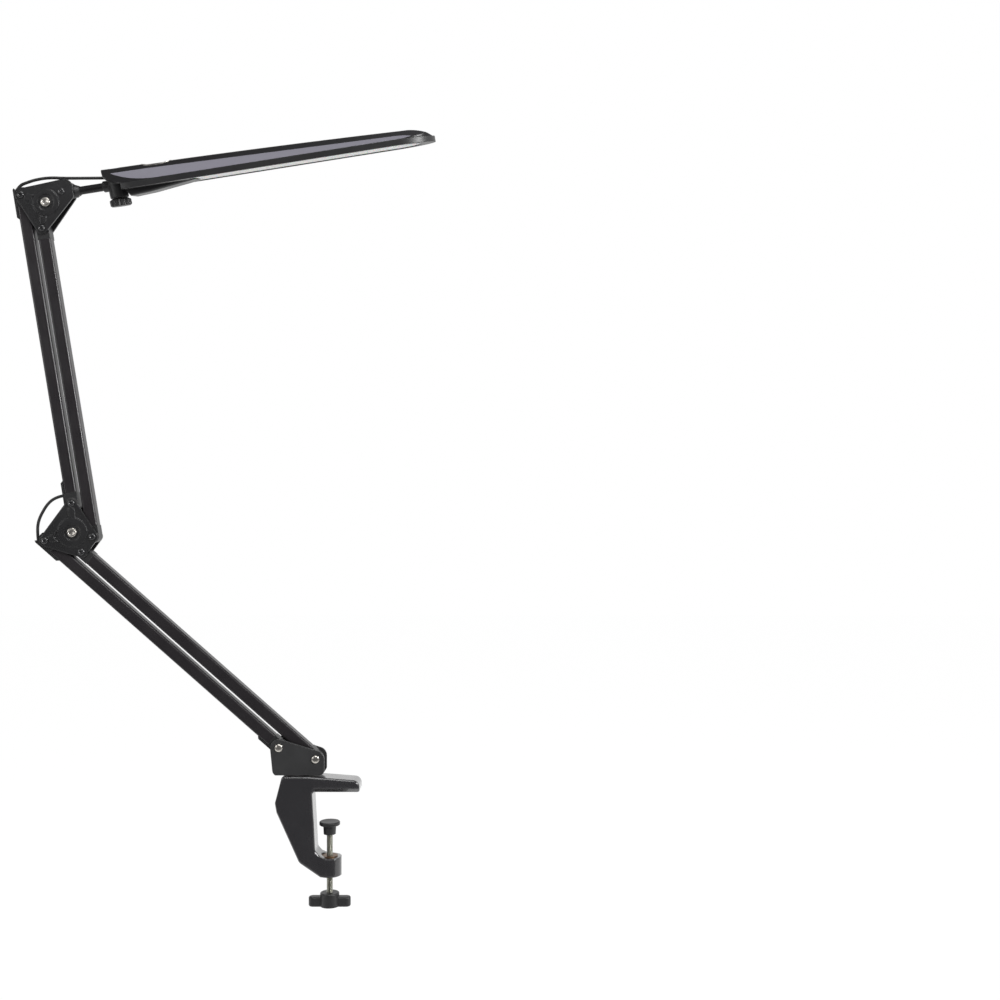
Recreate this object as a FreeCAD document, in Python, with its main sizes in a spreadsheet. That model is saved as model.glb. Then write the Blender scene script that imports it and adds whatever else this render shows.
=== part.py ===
import FreeCAD, Part
import math
import os
import re
import Sketcher
from FreeCAD import Placement, Rotation, Vector

# A clamp-mounted desk lamp on a double parallelogram arm.
# Millimetres.  +X runs along the photographed lamp from the arm side to the lamp head's tip,
# +Y away from the viewer, +Z up.  The origin is on the underside of the clamp's upper jaw,
# on the axis of the clamp screw, in the middle plane of the arm.

SIZES = [
    # clamp
    ("clamp_width", 32.0, "cast clamp frame, front to back"),
    ("clamp_edge_round", 2.5, "rounding of the casting's long edges"),
    ("jaw_reach", 40.5, "screw axis to the nose of the upper jaw"),
    ("jaw_slant", 5.5, "slanted lower edges of the upper jaw"),
    ("jaw_root_height", 22.0, "upper jaw above its face, at the column"),
    ("jaw_nose_height", 15.5, "upper jaw above its face, near the nose"),
    ("column_inner", 21.0, "screw axis to the column's inner face"),
    ("column_outer", 69.5, "screw axis to the column's back"),
    ("collar_radius", 15.6, "boss round the screw thread"),
    ("collar_top", -86.0, "upper face of the thread boss"),
    ("collar_length", 24.5, "height of the thread boss"),
    ("thread_bush_radius", 7.0, "pressed-in thread bush"),
    ("thread_bush_flange", 10.5, "radius of the bush's collar"),
    ("screw_radius", 4.0, "M8 clamp screw"),
    ("running_clearance", 0.06, "radial clearance of pins and shafts that turn"),
    ("press_clearance", 0.02, "radial clearance of pieces that are pressed in"),
    ("pad_top", -40.5, "face of the pressure pad below the jaw, as photographed"),
    ("pad_radius", 13.5, "pressure pad"),
    ("pad_thickness", 5.0, "pressure pad's disc"),
    ("pad_neck_radius", 8.5, "socket under the pad"),
    ("pad_neck_length", 11.5, "socket under the pad"),
    ("screw_ball_radius", 5.6, "ball end of the screw inside the pad"),
    ("handle_top", -133.5, "upper face of the screw's handle hub"),
    ("handle_hub_radius", 12.5, "hub of the handle"),
    ("handle_hub_height", 18.0, "hub of the handle"),
    ("handle_span", 55.0, "cross bar of the handle, tip to tip"),
    ("handle_bar_width", 12.0, "cross bar of the handle"),
    # base yoke
    ("swivel_x", -40.6, "swivel axis of the arm, from the clamp screw"),
    ("post_radius", 6.0, "swivel post"),
    ("post_depth", 29.0, "swivel post below the clamp's top face"),
    ("post_bush_wall", 2.0, "sleeve round the swivel post"),
    ("post_flange_thickness", 1.5, "flange of the sleeve, between clamp and yoke"),
    ("post_flange_radius", 14.0, "flange of the sleeve"),
    ("clamp_top", 20.8, "top face of the clamp under the yoke"),
    ("yoke_plate", 3.0, "side plates and web of the yoke"),
    ("yoke_inner_gap", 22.0, "between the yoke's side plates"),
    ("yoke_ear_radius", 11.3, "yoke round its pivots"),
    ("base_pivot_height", 50.5, "middle of the two base pivots above the jaw face"),
    # arm
    ("arm_pitch", 407.0, "pivot to pivot of every arm bar"),
    ("lower_spacing", 50.0, "between the two pivots of the lower arm"),
    ("lower_spacing_slope", -17.2, "slope of the line through them, degrees"),
    ("lower_arm_angle", 138.6, "lower arm from +X, degrees"),
    ("upper_spacing", 51.4, "between the two pivots of the upper arm"),
    ("upper_spacing_slope", -57.8, "slope of the line through them, degrees"),
    ("upper_arm_angle", 99.3, "upper arm from +X, degrees"),
    ("bar_width", 16.0, "square arm tube"),
    ("bar_wall", 1.3, "wall of the arm tube"),
    ("bar_corner", 2.8, "rounded corner of the arm tube"),
    ("tube_setback", 14.0, "pivot to the end of the tube"),
    ("end_plug_length", 20.0, "end fitting inside the tube"),
    ("end_reach", 9.9, "covered end fittings beyond their pivot"),
    ("cover_proud", 2.6, "cord cover above the tube's face"),
    ("cover_length", 30.5, "cord cover from the pivot along the tube"),
    ("cover_side", 6.9, "half width of the cord cover"),
    ("pivot_radius", 3.0, "shank of every arm pivot"),
    ("pivot_head_radius", 4.6, "rivet head"),
    ("pivot_head_height", 2.2, "rivet head"),
    ("base_head_radius", 5.2, "head of the base pivot pins"),
    ("friction_washer", 0.5, "friction washer between bar and plate"),
    ("friction_washer_radius", 7.5, "friction washer"),
    ("yoke_spacer_radius", 7.0, "spacer between bar and yoke"),
    # elbow and head brackets
    ("plate_thickness", 2.0, "stamped bracket plates"),
    ("emboss_height", 0.9, "pressed relief of the plates"),
    ("dish_radius", 10.4, "flat round the friction bolt"),
    ("elbow_relief_radius", 19.4, "raised disc of the elbow plates"),
    ("head_relief_radius", 17.0, "raised disc of the head plates"),
    ("elbow_rise_x", 34.6, "lower arm pivot to upper arm pivot, X"),
    ("elbow_rise_z", 48.7, "lower arm pivot to upper arm pivot, Z"),
    ("elbow_bolt_x", 36.1, "lower arm pivot to the elbow bolt, X"),
    ("elbow_bolt_z", 10.8, "lower arm pivot to the elbow bolt, Z"),
    ("bolt_radius", 3.0, "friction bolts"),
    ("bolt_head_radius", 6.2, "friction bolt heads"),
    ("bolt_head_height", 3.4, "friction bolt heads"),
    ("nut_flats", 10.0, "nuts across flats"),
    ("nut_height", 4.5, "nuts"),
    ("head_bolt_x", 32.9, "first head pivot to the head bolt, X"),
    ("head_bolt_z", -9.8, "first head pivot to the head bolt, Z"),
    ("stem_rivet_x", 52.9, "first head pivot to the stem rivet, X"),
    ("stem_rivet_z", 4.3, "first head pivot to the stem rivet, Z"),
    # stem and knuckle
    ("stem_slope", 9.0, "stem above the horizontal, degrees"),
    ("stem_radius", 5.25, "stem rod"),
    ("stem_reach", 70.5, "stem rivet to the pan axis"),
    ("socket_length", 22.0, "stem rivet to the end of the socket"),
    ("socket_mouth_radius", 5.9, "end of the socket"),
    ("socket_bore_start", 6.5, "stem rivet to the bottom of the socket's bore"),
    ("knuckle_radius", 12.0, "barrel of the knuckle"),
    ("knuckle_top", 7.5, "knuckle above the stem axis"),
    ("knuckle_bottom", -16.8, "knuckle below the stem axis"),
    ("pan_radius", 3.0, "stud of the pan pivot"),
    ("pan_washer_height", 0.8, "washer above the knuckle"),
    ("knob_radius", 13.8, "pan knob"),
    ("knob_height", 10.0, "pan knob"),
    ("knob_gap", 0.6, "between the knuckle and the knob"),
    ("head_roll", 12.5, "lamp head rolled about the stem, top to the viewer, degrees"),
    # lamp head, in its own frame: X from the pan axis to the tip, Z from the stem axis
    ("head_lip", -16.0, "end of the head over the stem"),
    ("head_tip", 421.0, "tip of the head"),
    ("head_half_width", 42.0, "half of the head's width"),
    ("head_bottom", -8.9, "lower edge of the rim"),
    ("rim_height", 7.2, "upright rim under the shell"),
    ("rim_wall", 3.0, "wall of the rim"),
    ("shell_wall", 2.2, "wall of the top shell"),
    ("lip_round", 46.0, "length of the rounded end over the stem"),
    ("tip_round", 54.0, "length of the rounded end at the tip"),
    ("crest_lip", 21.5, "crest above the stem axis at the lip"),
    ("crest_middle", 17.6, "crest above the stem axis, at the middle"),
    ("crest_end", 11.0, "crest above the stem axis, where the nose starts"),
    ("ridge_round", 14.0, "rounding of the crest across the head"),
    ("nose_length", 36.0, "length over which the crest drops to the tip"),
    ("tip_height", -4.2, "tip of the head"),
    ("inlay_depth", 0.9, "thickness of the side inlays"),
    ("inlay_film", 0.06, "glue line under the side inlays"),
    ("inlay_gap", 0.15, "round the edges of inlays, lenses and caps"),
    ("bay_end", 98.0, "end of the closed bay behind the diffuser"),
    ("diffuser_end", 404.0, "end of the diffuser"),
    ("diffuser_half_width", 36.2, "half width of the diffuser"),
    ("diffuser_thickness", 2.0, "diffuser"),
    ("touch_x", 56.0, "middle of the touch key, from the pan axis"),
    ("touch_half_length", 20.0, "touch key"),
    ("touch_half_width", 10.0, "touch key"),
    ("cap_half_length", 8.0, "cap over the pan pivot"),
    ("cap_half_width", 4.4, "cap over the pan pivot"),
    ("cord_radius", 2.0, "lamp cord"),
]

doc = FreeCAD.newDocument("lamp")
sheet = doc.addObject("Spreadsheet::Sheet", "Sizes")
for row, (alias, number, note) in enumerate(SIZES, 1):
    sheet.set(f"A{row}", alias)
    sheet.set(f"B{row}", str(number))
    sheet.set(f"C{row}", note)
    sheet.setAlias(f"B{row}", alias)
doc.recompute()

subparts = []


# ---------------------------------------------------------------- reading sizes
def cells(text):
    """The text of an expression, with every alias (a word with an underscore) made a cell."""
    return re.sub(r"\b([a-z]+(?:_[a-z]+)+)\b", r"Sizes.\1", str(text))


def mm(text):
    """The number that an expression gives."""
    return float(sheet.evalExpression(cells(text)))


def bind(thing, **properties):
    for name, text in properties.items():
        thing.setExpression(name.replace("__", "."), cells(text))


def slope(degrees):
    """Unit vector in the XZ plane at that angle above +X."""
    return Vector(math.cos(math.radians(degrees)), 0, math.sin(math.radians(degrees)))


def turned_up(degrees):
    """Rotation that lifts +X towards +Z."""
    return Rotation(Vector(0, -1, 0), degrees)


def keep(thing, label, placement=None):
    """Registers a finished sub-part under the name of its node."""
    thing.Label = label
    if placement is not None:
        thing.Placement = placement
    subparts.append(thing)
    return thing


# ---------------------------------------------------------------- outlines
def arc(start, middle, end):
    return Part.Arc(Vector(*start, 0), Vector(*middle, 0), Vector(*end, 0))


def line(start, end):
    return Part.LineSegment(Vector(*start, 0), Vector(*end, 0))


def hull(*circles):
    """Outline round circles (x, y, radius) given anticlockwise: tangent lines and arcs."""
    normals = []
    for (xa, ya, ra), (xb, yb, rb) in zip(circles, circles[1:] + circles[:1]):
        length = math.hypot(xb - xa, yb - ya)
        lean = (ra - rb) / length
        side = math.sqrt(1 - lean * lean)
        dx, dy = (xb - xa) / length, (yb - ya) / length
        normals.append((dx * lean + dy * side, dy * lean - dx * side))
    pieces = []
    for i, (x, y, r) in enumerate(circles):
        (nx, ny), (mx, my) = normals[i - 1], normals[i]
        bx, by = nx + mx, ny + my
        if math.hypot(bx, by) < 0.01:  # a half turn
            bx, by = -ny, nx
        size = math.hypot(bx, by)
        pieces.append(arc((x + r * nx, y + r * ny), (x + r * bx / size, y + r * by / size),
                          (x + r * mx, y + r * my)))
        xn, yn, rn = circles[(i + 1) % len(circles)]
        pieces.append(line((x + r * mx, y + r * my), (xn + rn * mx, yn + rn * my)))
    return pieces


def face_of(pieces):
    return Part.Face(Part.Wire([piece.toShape() for piece in pieces]))


# ---------------------------------------------------------------- sketches and features
def new_body(name):
    return doc.addObject("PartDesign::Body", name)


def sketch_on(body, role, lift=None):
    """A sketch on one of the body's origin planes, lifted along the plane's normal."""
    plane = next(f for f in body.Origin.OriginFeatures if f.Role == role)
    sketch = body.newObject("Sketcher::SketchObject", body.Name + "_sketch")
    sketch.AttachmentSupport = (plane, [""])
    sketch.MapMode = "FlatFace"
    if lift is not None:
        sketch.setExpression("AttachmentOffset.Base.z", cells(lift))
    return sketch


def pin_point(sketch, shape, point, x, y):
    """Ties a sketch point to two expressions, measured from the sketch's origin."""
    for kind, text, axis in (("DistanceX", x, -2), ("DistanceY", y, -1)):
        number = mm(text)
        if abs(number) < 1e-9:
            sketch.addConstraint(Sketcher.Constraint("PointOnObject", shape, point, axis))
            continue
        held = sketch.addConstraint(Sketcher.Constraint(kind, -1, 1, shape, point, number))
        sketch.setExpression(f"Constraints[{held}]", cells(text))


def polygon(sketch, *points):
    """A closed outline whose corners are pairs of expressions."""
    numbers = [(mm(x), mm(y)) for x, y in points]
    shapes = [sketch.addGeometry(line(a, b)) for a, b in zip(numbers, numbers[1:] + numbers[:1])]
    for this, following in zip(shapes, shapes[1:] + shapes[:1]):
        sketch.addConstraint(Sketcher.Constraint("Coincident", this, 2, following, 1))
    for shape, (x, y) in zip(shapes, points):
        pin_point(sketch, shape, 1, x, y)
    return sketch


def rectangle(sketch, left, right, low, high):
    return polygon(sketch, (left, low), (right, low), (right, high), (left, high))


def circle(sketch, radius, x="0", y="0"):
    centre = Vector(mm(x), mm(y), 0)
    shape = sketch.addGeometry(Part.Circle(centre, Vector(0, 0, 1), mm(radius)))
    held = sketch.addConstraint(Sketcher.Constraint("Radius", shape, mm(radius)))
    sketch.setExpression(f"Constraints[{held}]", cells(radius))
    pin_point(sketch, shape, 3, x, y)
    return sketch


def draw(sketch, pieces):
    for piece in pieces:
        sketch.addGeometry(piece)
    return sketch


def check(feature):
    """Recomputes with merged faces, and stops when the feature fails."""
    feature.Refine = True
    doc.recompute()
    if not feature.isValid() or feature.Shape.isNull():
        raise ValueError(f"{feature.Label}: {feature.getStatusString()}")
    return feature


def pad(body, sketch, length, both_ways=False):
    feature = body.newObject("PartDesign::Pad", body.Name + "_pad")
    feature.Profile = sketch
    bind(feature, Length=length)
    feature.Midplane = both_ways
    return check(feature)


def pocket(body, sketch, depth=None, both_ways=False, reverse=False):
    """Cuts the sketch away, right through when no depth is given."""
    before = body.Shape.Volume
    feature = body.newObject("PartDesign::Pocket", body.Name + "_pocket")
    feature.Profile = sketch
    if depth is None:
        feature.Type = "ThroughAll"
        feature.Midplane = True
    else:
        bind(feature, Length=depth)
        feature.Midplane = both_ways
        feature.Reversed = reverse
    doc.recompute()
    check(feature)
    if feature.Shape.Volume > before - 1e-3:
        raise ValueError(f"{feature.Label} cuts nothing")
    return feature


def revolve(body, sketch, axis="V_Axis"):
    feature = body.newObject("PartDesign::Revolution", body.Name + "_turn")
    feature.Profile = sketch
    feature.ReferenceAxis = (sketch, [axis])
    feature.Angle = 360
    return check(feature)


def round_edges(body, radius, wanted, chamfer=False):
    """Fillets or chamfers the edges of the body's tip that the test picks."""
    tip = body.Tip
    names = [f"Edge{i}" for i, edge in enumerate(tip.Shape.Edges, 1) if wanted(edge)]
    if not names:
        raise ValueError(f"{body.Name}: no edge to round")
    kind = "PartDesign::Chamfer" if chamfer else "PartDesign::Fillet"
    feature = body.newObject(kind, body.Name + "_edge")
    feature.Base = (tip, names)
    bind(feature, **{"Size" if chamfer else "Radius": radius})
    return check(feature)


def along_y_at(x, z, reach=0.6):
    """Picks the edges parallel to Y that pass within reach of a point of the XZ plane."""
    def wanted(edge):
        ends = [v.Point for v in edge.Vertexes]
        return (len(ends) == 2 and abs(ends[0].x - ends[1].x) < 1e-6
                and abs(ends[0].z - ends[1].z) < 1e-6
                and math.hypot(ends[0].x - x, ends[0].z - z) < reach)
    return wanted


def in_plane(axis, *levels):
    """Picks the edges that lie in a plane square to an axis, at one of the levels."""
    def wanted(edge):
        box = edge.BoundBox
        low, high = getattr(box, axis + "Min"), getattr(box, axis + "Max")
        return high - low < 1e-4 and any(abs(low - level) < 1e-4 for level in levels)
    return wanted


def turned(name, *profile):
    """A body of revolution about Z, from (radius, height) corners."""
    body = new_body(name)
    revolve(body, polygon(sketch_on(body, "XZ_Plane"), *profile))
    return body


def repeat(name, source, places):
    """One node of separate copies of a piece."""
    copies = []
    for place in places:
        copy = doc.addObject("App::Link", name + "_copy")
        copy.LinkedObject = source
        copy.Placement = place
        copies.append(copy)
    group = doc.addObject("Part::Compound", name)
    group.Links = copies
    return group


def hexagon(name, flats, height, bore):
    """A nut about Z."""
    body = new_body(name)
    flat = mm(flats)
    corners = [(flat / math.sqrt(3) * math.cos(math.radians(60 * k)),
                flat / math.sqrt(3) * math.sin(math.radians(60 * k))) for k in range(6)]
    sketch = draw(sketch_on(body, "XY_Plane"),
                  [line(a, b) for a, b in zip(corners, corners[1:] + corners[:1])])
    pad(body, circle(sketch, bore), height)
    return body


# Pins lie along Y: a piece turned about Z is laid down, its top towards the viewer.
LAID = Rotation(Vector(1, 0, 0), 90)


def on_pin(point, y=0.0, flipped=False):
    turn = LAID.multiply(Rotation(Vector(1, 0, 0), 180)) if flipped else LAID
    return Placement(Vector(point.x, y, point.z), turn)


# ---------------------------------------------------------------- where the pivots are
base_middle = Vector(mm("swivel_x"), 0, mm("base_pivot_height"))
lower_across = slope(mm("lower_spacing_slope")) * mm("lower_spacing")
upper_across = slope(mm("upper_spacing_slope")) * mm("upper_spacing")
lower_along = slope(mm("lower_arm_angle")) * mm("arm_pitch")
upper_along = slope(mm("upper_arm_angle")) * mm("arm_pitch")

BASE_OUTER = base_middle - lower_across * 0.5
BASE_INNER = base_middle + lower_across * 0.5
ELBOW_LOW_OUTER = BASE_OUTER + lower_along
ELBOW_LOW_INNER = BASE_INNER + lower_along
ELBOW_HIGH_OUTER = ELBOW_LOW_OUTER + Vector(mm("elbow_rise_x"), 0, mm("elbow_rise_z"))
ELBOW_HIGH_INNER = ELBOW_HIGH_OUTER + upper_across
HEAD_OUTER = ELBOW_HIGH_OUTER + upper_along
HEAD_INNER = ELBOW_HIGH_INNER + upper_along
ELBOW_BOLT = ELBOW_LOW_OUTER + Vector(mm("elbow_bolt_x"), 0, mm("elbow_bolt_z"))
HEAD_BOLT = HEAD_OUTER + Vector(mm("head_bolt_x"), 0, mm("head_bolt_z"))
STEM_RIVET = HEAD_OUTER + Vector(mm("stem_rivet_x"), 0, mm("stem_rivet_z"))
PAN_CENTRE = STEM_RIVET + slope(mm("stem_slope")) * mm("stem_reach")

# The stem's own frame starts at its rivet; the lamp head's at the pan axis.
STEM_FRAME = Placement(STEM_RIVET, turned_up(mm("stem_slope")))
HEAD_FRAME = Placement(PAN_CENTRE, turned_up(mm("stem_slope")).multiply(
    Rotation(Vector(1, 0, 0), mm("head_roll"))))


# ---------------------------------------------------------------- clamp
def clamp_frame():
    """Cast C-frame: upper jaw, tapering column and the boss for the screw."""
    body = new_body("clamp_frame")
    polygon_sketch = polygon(
        sketch_on(body, "XZ_Plane"),
        ("-column_outer + 9", "clamp_top"), ("-column_outer", "-14"), ("-column_outer + 2.2", "-26"),
        ("-38", "-91"), ("-11", "collar_top - collar_length + 1"),
        ("-3", "collar_top - collar_length + 1"), ("-3", "collar_top"), ("-10.5", "collar_top + 3"),
        ("-column_inner + 4", "-76"), ("-column_inner", "0"),
        ("jaw_reach", "0"), ("jaw_reach", "jaw_nose_height"),
        ("-column_inner - 6", "clamp_top"))
    pad(body, polygon_sketch, "clamp_width", both_ways=True)
    for x, z, radius in (("-column_outer", "-14", 8.0), ("-column_outer + 2.2", "-26", 8.0),
                         ("-38", "-91", 12.0), ("-column_outer + 9", "clamp_top", 4.0),
                         ("jaw_reach", "jaw_nose_height", 9.0), ("jaw_reach", "0", 3.5),
                         ("-column_inner", "0", 3.0), ("-column_inner + 4", "-76", 6.0)):
        round_edges(body, radius, along_y_at(mm(x), mm(z)))
    half = mm("clamp_width") / 2
    round_edges(body, "clamp_edge_round",
                lambda edge: in_plane("Y", -half, half)(edge) and edge.BoundBox.ZMin > -84)
    slants = sketch_on(body, "YZ_Plane", "-column_inner + 2")
    for side in ("", "-"):
        polygon(slants, (f"{side}(clamp_width / 2 + 1)", "jaw_slant + 1"),
                (f"{side}(clamp_width / 2 + 1)", "-1"),
                (f"{side}(clamp_width / 2 - jaw_slant - 1)", "-1"))
    pocket(body, slants, "jaw_reach + column_inner", reverse=True)
    boss = circle(sketch_on(body, "XY_Plane", "collar_top - collar_length"), "collar_radius")
    pad(body, boss, "collar_length")
    round_edges(body, 0.8, in_plane("Z", mm("collar_top - collar_length")))
    above = circle(sketch_on(body, "XY_Plane", "collar_top"), "thread_bush_flange + 0.5")
    pocket(body, above, "12", reverse=True)
    bore = circle(sketch_on(body, "XY_Plane", "collar_top"), "thread_bush_radius + press_clearance")
    pocket(body, bore, "collar_length + 1")
    socket = circle(sketch_on(body, "XY_Plane", "clamp_top"),
                    "post_radius + post_bush_wall + press_clearance", "swivel_x")
    pocket(body, socket, "post_depth + 1")
    return keep(body, "clamp_frame")


def clamp_thread_bush():
    """Flanged bush that carries the clamp screw's thread."""
    inner = "screw_radius + running_clearance"
    body = turned("clamp_thread_bush",
                  (inner, "collar_top - collar_length"),
                  ("thread_bush_radius", "collar_top - collar_length"),
                  ("thread_bush_radius", "collar_top"),
                  ("thread_bush_flange", "collar_top"),
                  ("thread_bush_flange", "collar_top + 1.2"),
                  (inner, "collar_top + 1.2"))
    return keep(body, "clamp_thread_bush")


def pressure_pad():
    """Pad with a socket that is crimped round the screw's ball."""
    cavity = "screw_ball_radius + 0.3"
    body = turned("pressure_pad",
                  ("0", "pad_top"), ("pad_radius - 1", "pad_top"), ("pad_radius", "pad_top - 1"),
                  ("pad_radius", "pad_top - pad_thickness + 1"),
                  ("pad_radius - 1", "pad_top - pad_thickness"),
                  ("pad_neck_radius", "pad_top - pad_thickness"),
                  ("pad_neck_radius - 0.6", "pad_top - pad_thickness - pad_neck_length"),
                  ("screw_radius + 0.7", "pad_top - pad_thickness - pad_neck_length"),
                  ("screw_radius + 0.7", "pad_top - pad_thickness - pad_neck_length + 1.2"),
                  (cavity, "pad_top - pad_thickness - pad_neck_length + 3.4"),
                  (cavity, "pad_top - pad_thickness + 1"),
                  ("0", "pad_top - pad_thickness + 1"))
    return keep(body, "pressure_pad")


def clamp_screw():
    """Screw rod with its ball end."""
    body = turned("screw_rod",
                  ("0", "handle_top - 15"), ("screw_radius - 0.6", "handle_top - 15"),
                  ("screw_radius", "handle_top - 14.4"),
                  ("screw_radius", "pad_top - pad_thickness - 6"), ("0", "pad_top - pad_thickness - 6"))
    ball = doc.addObject("Part::Sphere", "screw_ball")
    bind(ball, Radius="screw_ball_radius")
    bind(ball, Placement__Base__z="pad_top - pad_thickness + 0.7 - screw_ball_radius")
    joined = doc.addObject("Part::Fuse", "clamp_screw_joined")
    joined.Base = body
    joined.Tool = ball
    return keep(joined, "clamp_screw")


def screw_handle():
    """Moulded cross handle: hub and bar."""
    body = new_body("screw_handle")
    low = "handle_top - handle_hub_height"
    bar = hull((-mm("handle_span - handle_bar_width") / 2, 0, mm("handle_bar_width") / 2),
               (mm("handle_span - handle_bar_width") / 2, 0, mm("handle_bar_width") / 2))
    pad(body, draw(sketch_on(body, "XY_Plane", low), bar), "handle_hub_height - 5")
    round_edges(body, 2.2, in_plane("Z", mm(low), mm(low) + mm("handle_hub_height - 5")))
    pad(body, circle(sketch_on(body, "XY_Plane", low + " + 0.4"), "handle_hub_radius"),
        "handle_hub_height - 0.4")
    round_edges(body, 1.5, in_plane("Z", mm("handle_top")))
    hole = circle(sketch_on(body, "XY_Plane", "handle_top"), "screw_radius + press_clearance")
    pocket(body, hole, "15.02")
    return keep(body, "screw_handle")


# ---------------------------------------------------------------- base yoke
def base_yoke():
    """Folded yoke: two side plates joined by a web that sits on the swivel sleeve."""
    body = new_body("base_yoke")
    ear = mm("yoke_ear_radius")
    floor = mm("clamp_top + post_flange_thickness")
    outline = hull((BASE_OUTER.x, floor + 7, 8.5 if ear > 9 else ear),
                   (BASE_INNER.x + ear - 6, floor + 6, 6),
                   (BASE_INNER.x, BASE_INNER.z, ear),
                   (BASE_OUTER.x, BASE_OUTER.z, ear))
    pad(body, draw(sketch_on(body, "XZ_Plane"), outline), "yoke_inner_gap + 2 * yoke_plate",
        both_ways=True)
    gap = rectangle(sketch_on(body, "XZ_Plane"), "swivel_x - 90", "swivel_x + 90",
                    "clamp_top + post_flange_thickness + yoke_plate", "base_pivot_height + 60")
    pocket(body, gap, "yoke_inner_gap", both_ways=True)
    half = mm("yoke_inner_gap") / 2 + mm("yoke_plate")
    round_edges(body, 0.8, in_plane("Y", -half, half))
    return body


def finish_base_yoke(body):
    below = rectangle(sketch_on(body, "XZ_Plane"), "swivel_x - 90", "swivel_x + 90",
                      "clamp_top + post_flange_thickness - 20", "clamp_top + post_flange_thickness")
    try_cut = mm("clamp_top + post_flange_thickness")
    if body.Shape.BoundBox.ZMin < try_cut - 1e-3:
        pocket(body, below)
    holes = sketch_on(body, "XZ_Plane")
    for pivot in (BASE_OUTER, BASE_INNER):
        circle(holes, "pivot_radius + running_clearance", str(pivot.x), str(pivot.z))
    pocket(body, holes)
    post = circle(sketch_on(body, "XY_Plane", "clamp_top + post_flange_thickness + yoke_plate"),
                  "post_radius - 1.5 + press_clearance", "swivel_x")
    pocket(body, post, "yoke_plate + 1")
    return keep(body, "base_yoke")


def swivel_post():
    """Post under the yoke's web, riveted over above it."""
    body = turned("swivel_post",
                  ("0", "-post_depth"), ("post_radius - 1", "-post_depth"),
                  ("post_radius", "-post_depth + 1"), ("post_radius", "post_flange_thickness"),
                  ("post_radius - 1.5", "post_flange_thickness"),
                  ("post_radius - 1.5", "post_flange_thickness + yoke_plate"),
                  ("post_radius + 1", "post_flange_thickness + yoke_plate"),
                  ("post_radius - 0.5", "post_flange_thickness + yoke_plate + 2"),
                  ("0", "post_flange_thickness + yoke_plate + 2"))
    return keep(body, "swivel_post", Placement(Vector(mm("swivel_x"), 0, mm("clamp_top")), Rotation()))


def swivel_bush():
    """Flanged sleeve in the clamp, round the swivel post."""
    inner = "post_radius + running_clearance"
    outer = "post_radius + post_bush_wall"
    body = turned("swivel_bush",
                  (inner, "-post_depth"), (outer, "-post_depth"), (outer, "0"),
                  ("post_flange_radius", "0"), ("post_flange_radius", "post_flange_thickness"),
                  (inner, "post_flange_thickness"))
    return keep(body, "swivel_bush", Placement(Vector(mm("swivel_x"), 0, mm("clamp_top")), Rotation()))


def pivot_pin(name, half_length, head):
    """Headed pin about Z, its dome up, its riveted end down."""
    return turned(name,
                  ("0", f"-({half_length}) - 1.6"), (f"{head} - 1.2", f"-({half_length}) - 1.6"),
                  (head, f"-({half_length}) - 0.6"), (head, f"-({half_length})"),
                  ("pivot_radius", f"-({half_length})"), ("pivot_radius", half_length),
                  (head, half_length), (head, f"{half_length} + 0.7"),
                  (f"{head} * 0.72", f"{half_length} + pivot_head_height * 0.8"),
                  ("0", f"{half_length} + pivot_head_height"))


def ring(name, inner, outer, height):
    """Washer about Z, from z = 0 up."""
    return turned(name, (inner, "0"), (outer, "0"), (outer, height), (inner, height))


def washers_at(name, source, pivots, level):
    """A washer on each side of the bar at every pivot, its near face at that distance."""
    places = []
    for pivot in pivots:
        places.append(on_pin(pivot, -level))
        places.append(on_pin(pivot, level, flipped=True))
    return keep(repeat(name, source, places), name)


# ---------------------------------------------------------------- arm bars
PORT_TIP = ("-end_reach - 2.1", "bar_width / 2 + cover_proud")
PORT_NOTCH = ("-end_reach + 3.4", "bar_width / 2 - 3.4")


def end_fitting(name, covered):
    """Moulded eye about the pivot with a plug into the tube; the pivot is the origin."""
    body = new_body(name)
    half, over = "bar_width / 2", "bar_width / 2 + cover_proud"
    if covered:
        share = mm("cover_proud") / mm("cover_proud + 3.4")
        mouth = f"-end_reach - 2.1 + 5.5 * {share}"
        block = polygon(sketch_on(body, "XZ_Plane"), ("tube_setback", "-" + half),
                        ("tube_setback", half), (mouth, half), PORT_NOTCH,
                        ("-end_reach", "1"), ("-end_reach", "-" + half))
        pad(body, block, "bar_width", both_ways=True)
        cover = polygon(sketch_on(body, "XZ_Plane"), (mouth, half), ("cover_length", half),
                        ("cover_length - 2.6", over), ("-end_reach + 1.4", over),
                        ("-end_reach - 2.1 + 5.5 * 0.22", over + " - (cover_proud + 3.4) * 0.22"))
        pad(body, cover, "2 * cover_side", both_ways=True)
        round_edges(body, 4.5, along_y_at(-mm("end_reach"), -mm("bar_width") / 2))
    else:
        pad(body, circle(sketch_on(body, "XZ_Plane"), half), "bar_width", both_ways=True)
        block = rectangle(sketch_on(body, "XZ_Plane"), "0.01", "tube_setback", "-" + half, half)
        pad(body, block, "bar_width", both_ways=True)
    inside = "bar_width / 2 - bar_wall - press_clearance"
    plug = rectangle(sketch_on(body, "XZ_Plane"), "tube_setback - 1",
                     "tube_setback + end_plug_length", "-(" + inside + ")", inside)
    pad(body, plug, "bar_width - 2 * bar_wall - 2 * press_clearance", both_ways=True)
    pocket(body, circle(sketch_on(body, "XZ_Plane"), "pivot_radius + running_clearance"))
    return body


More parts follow.
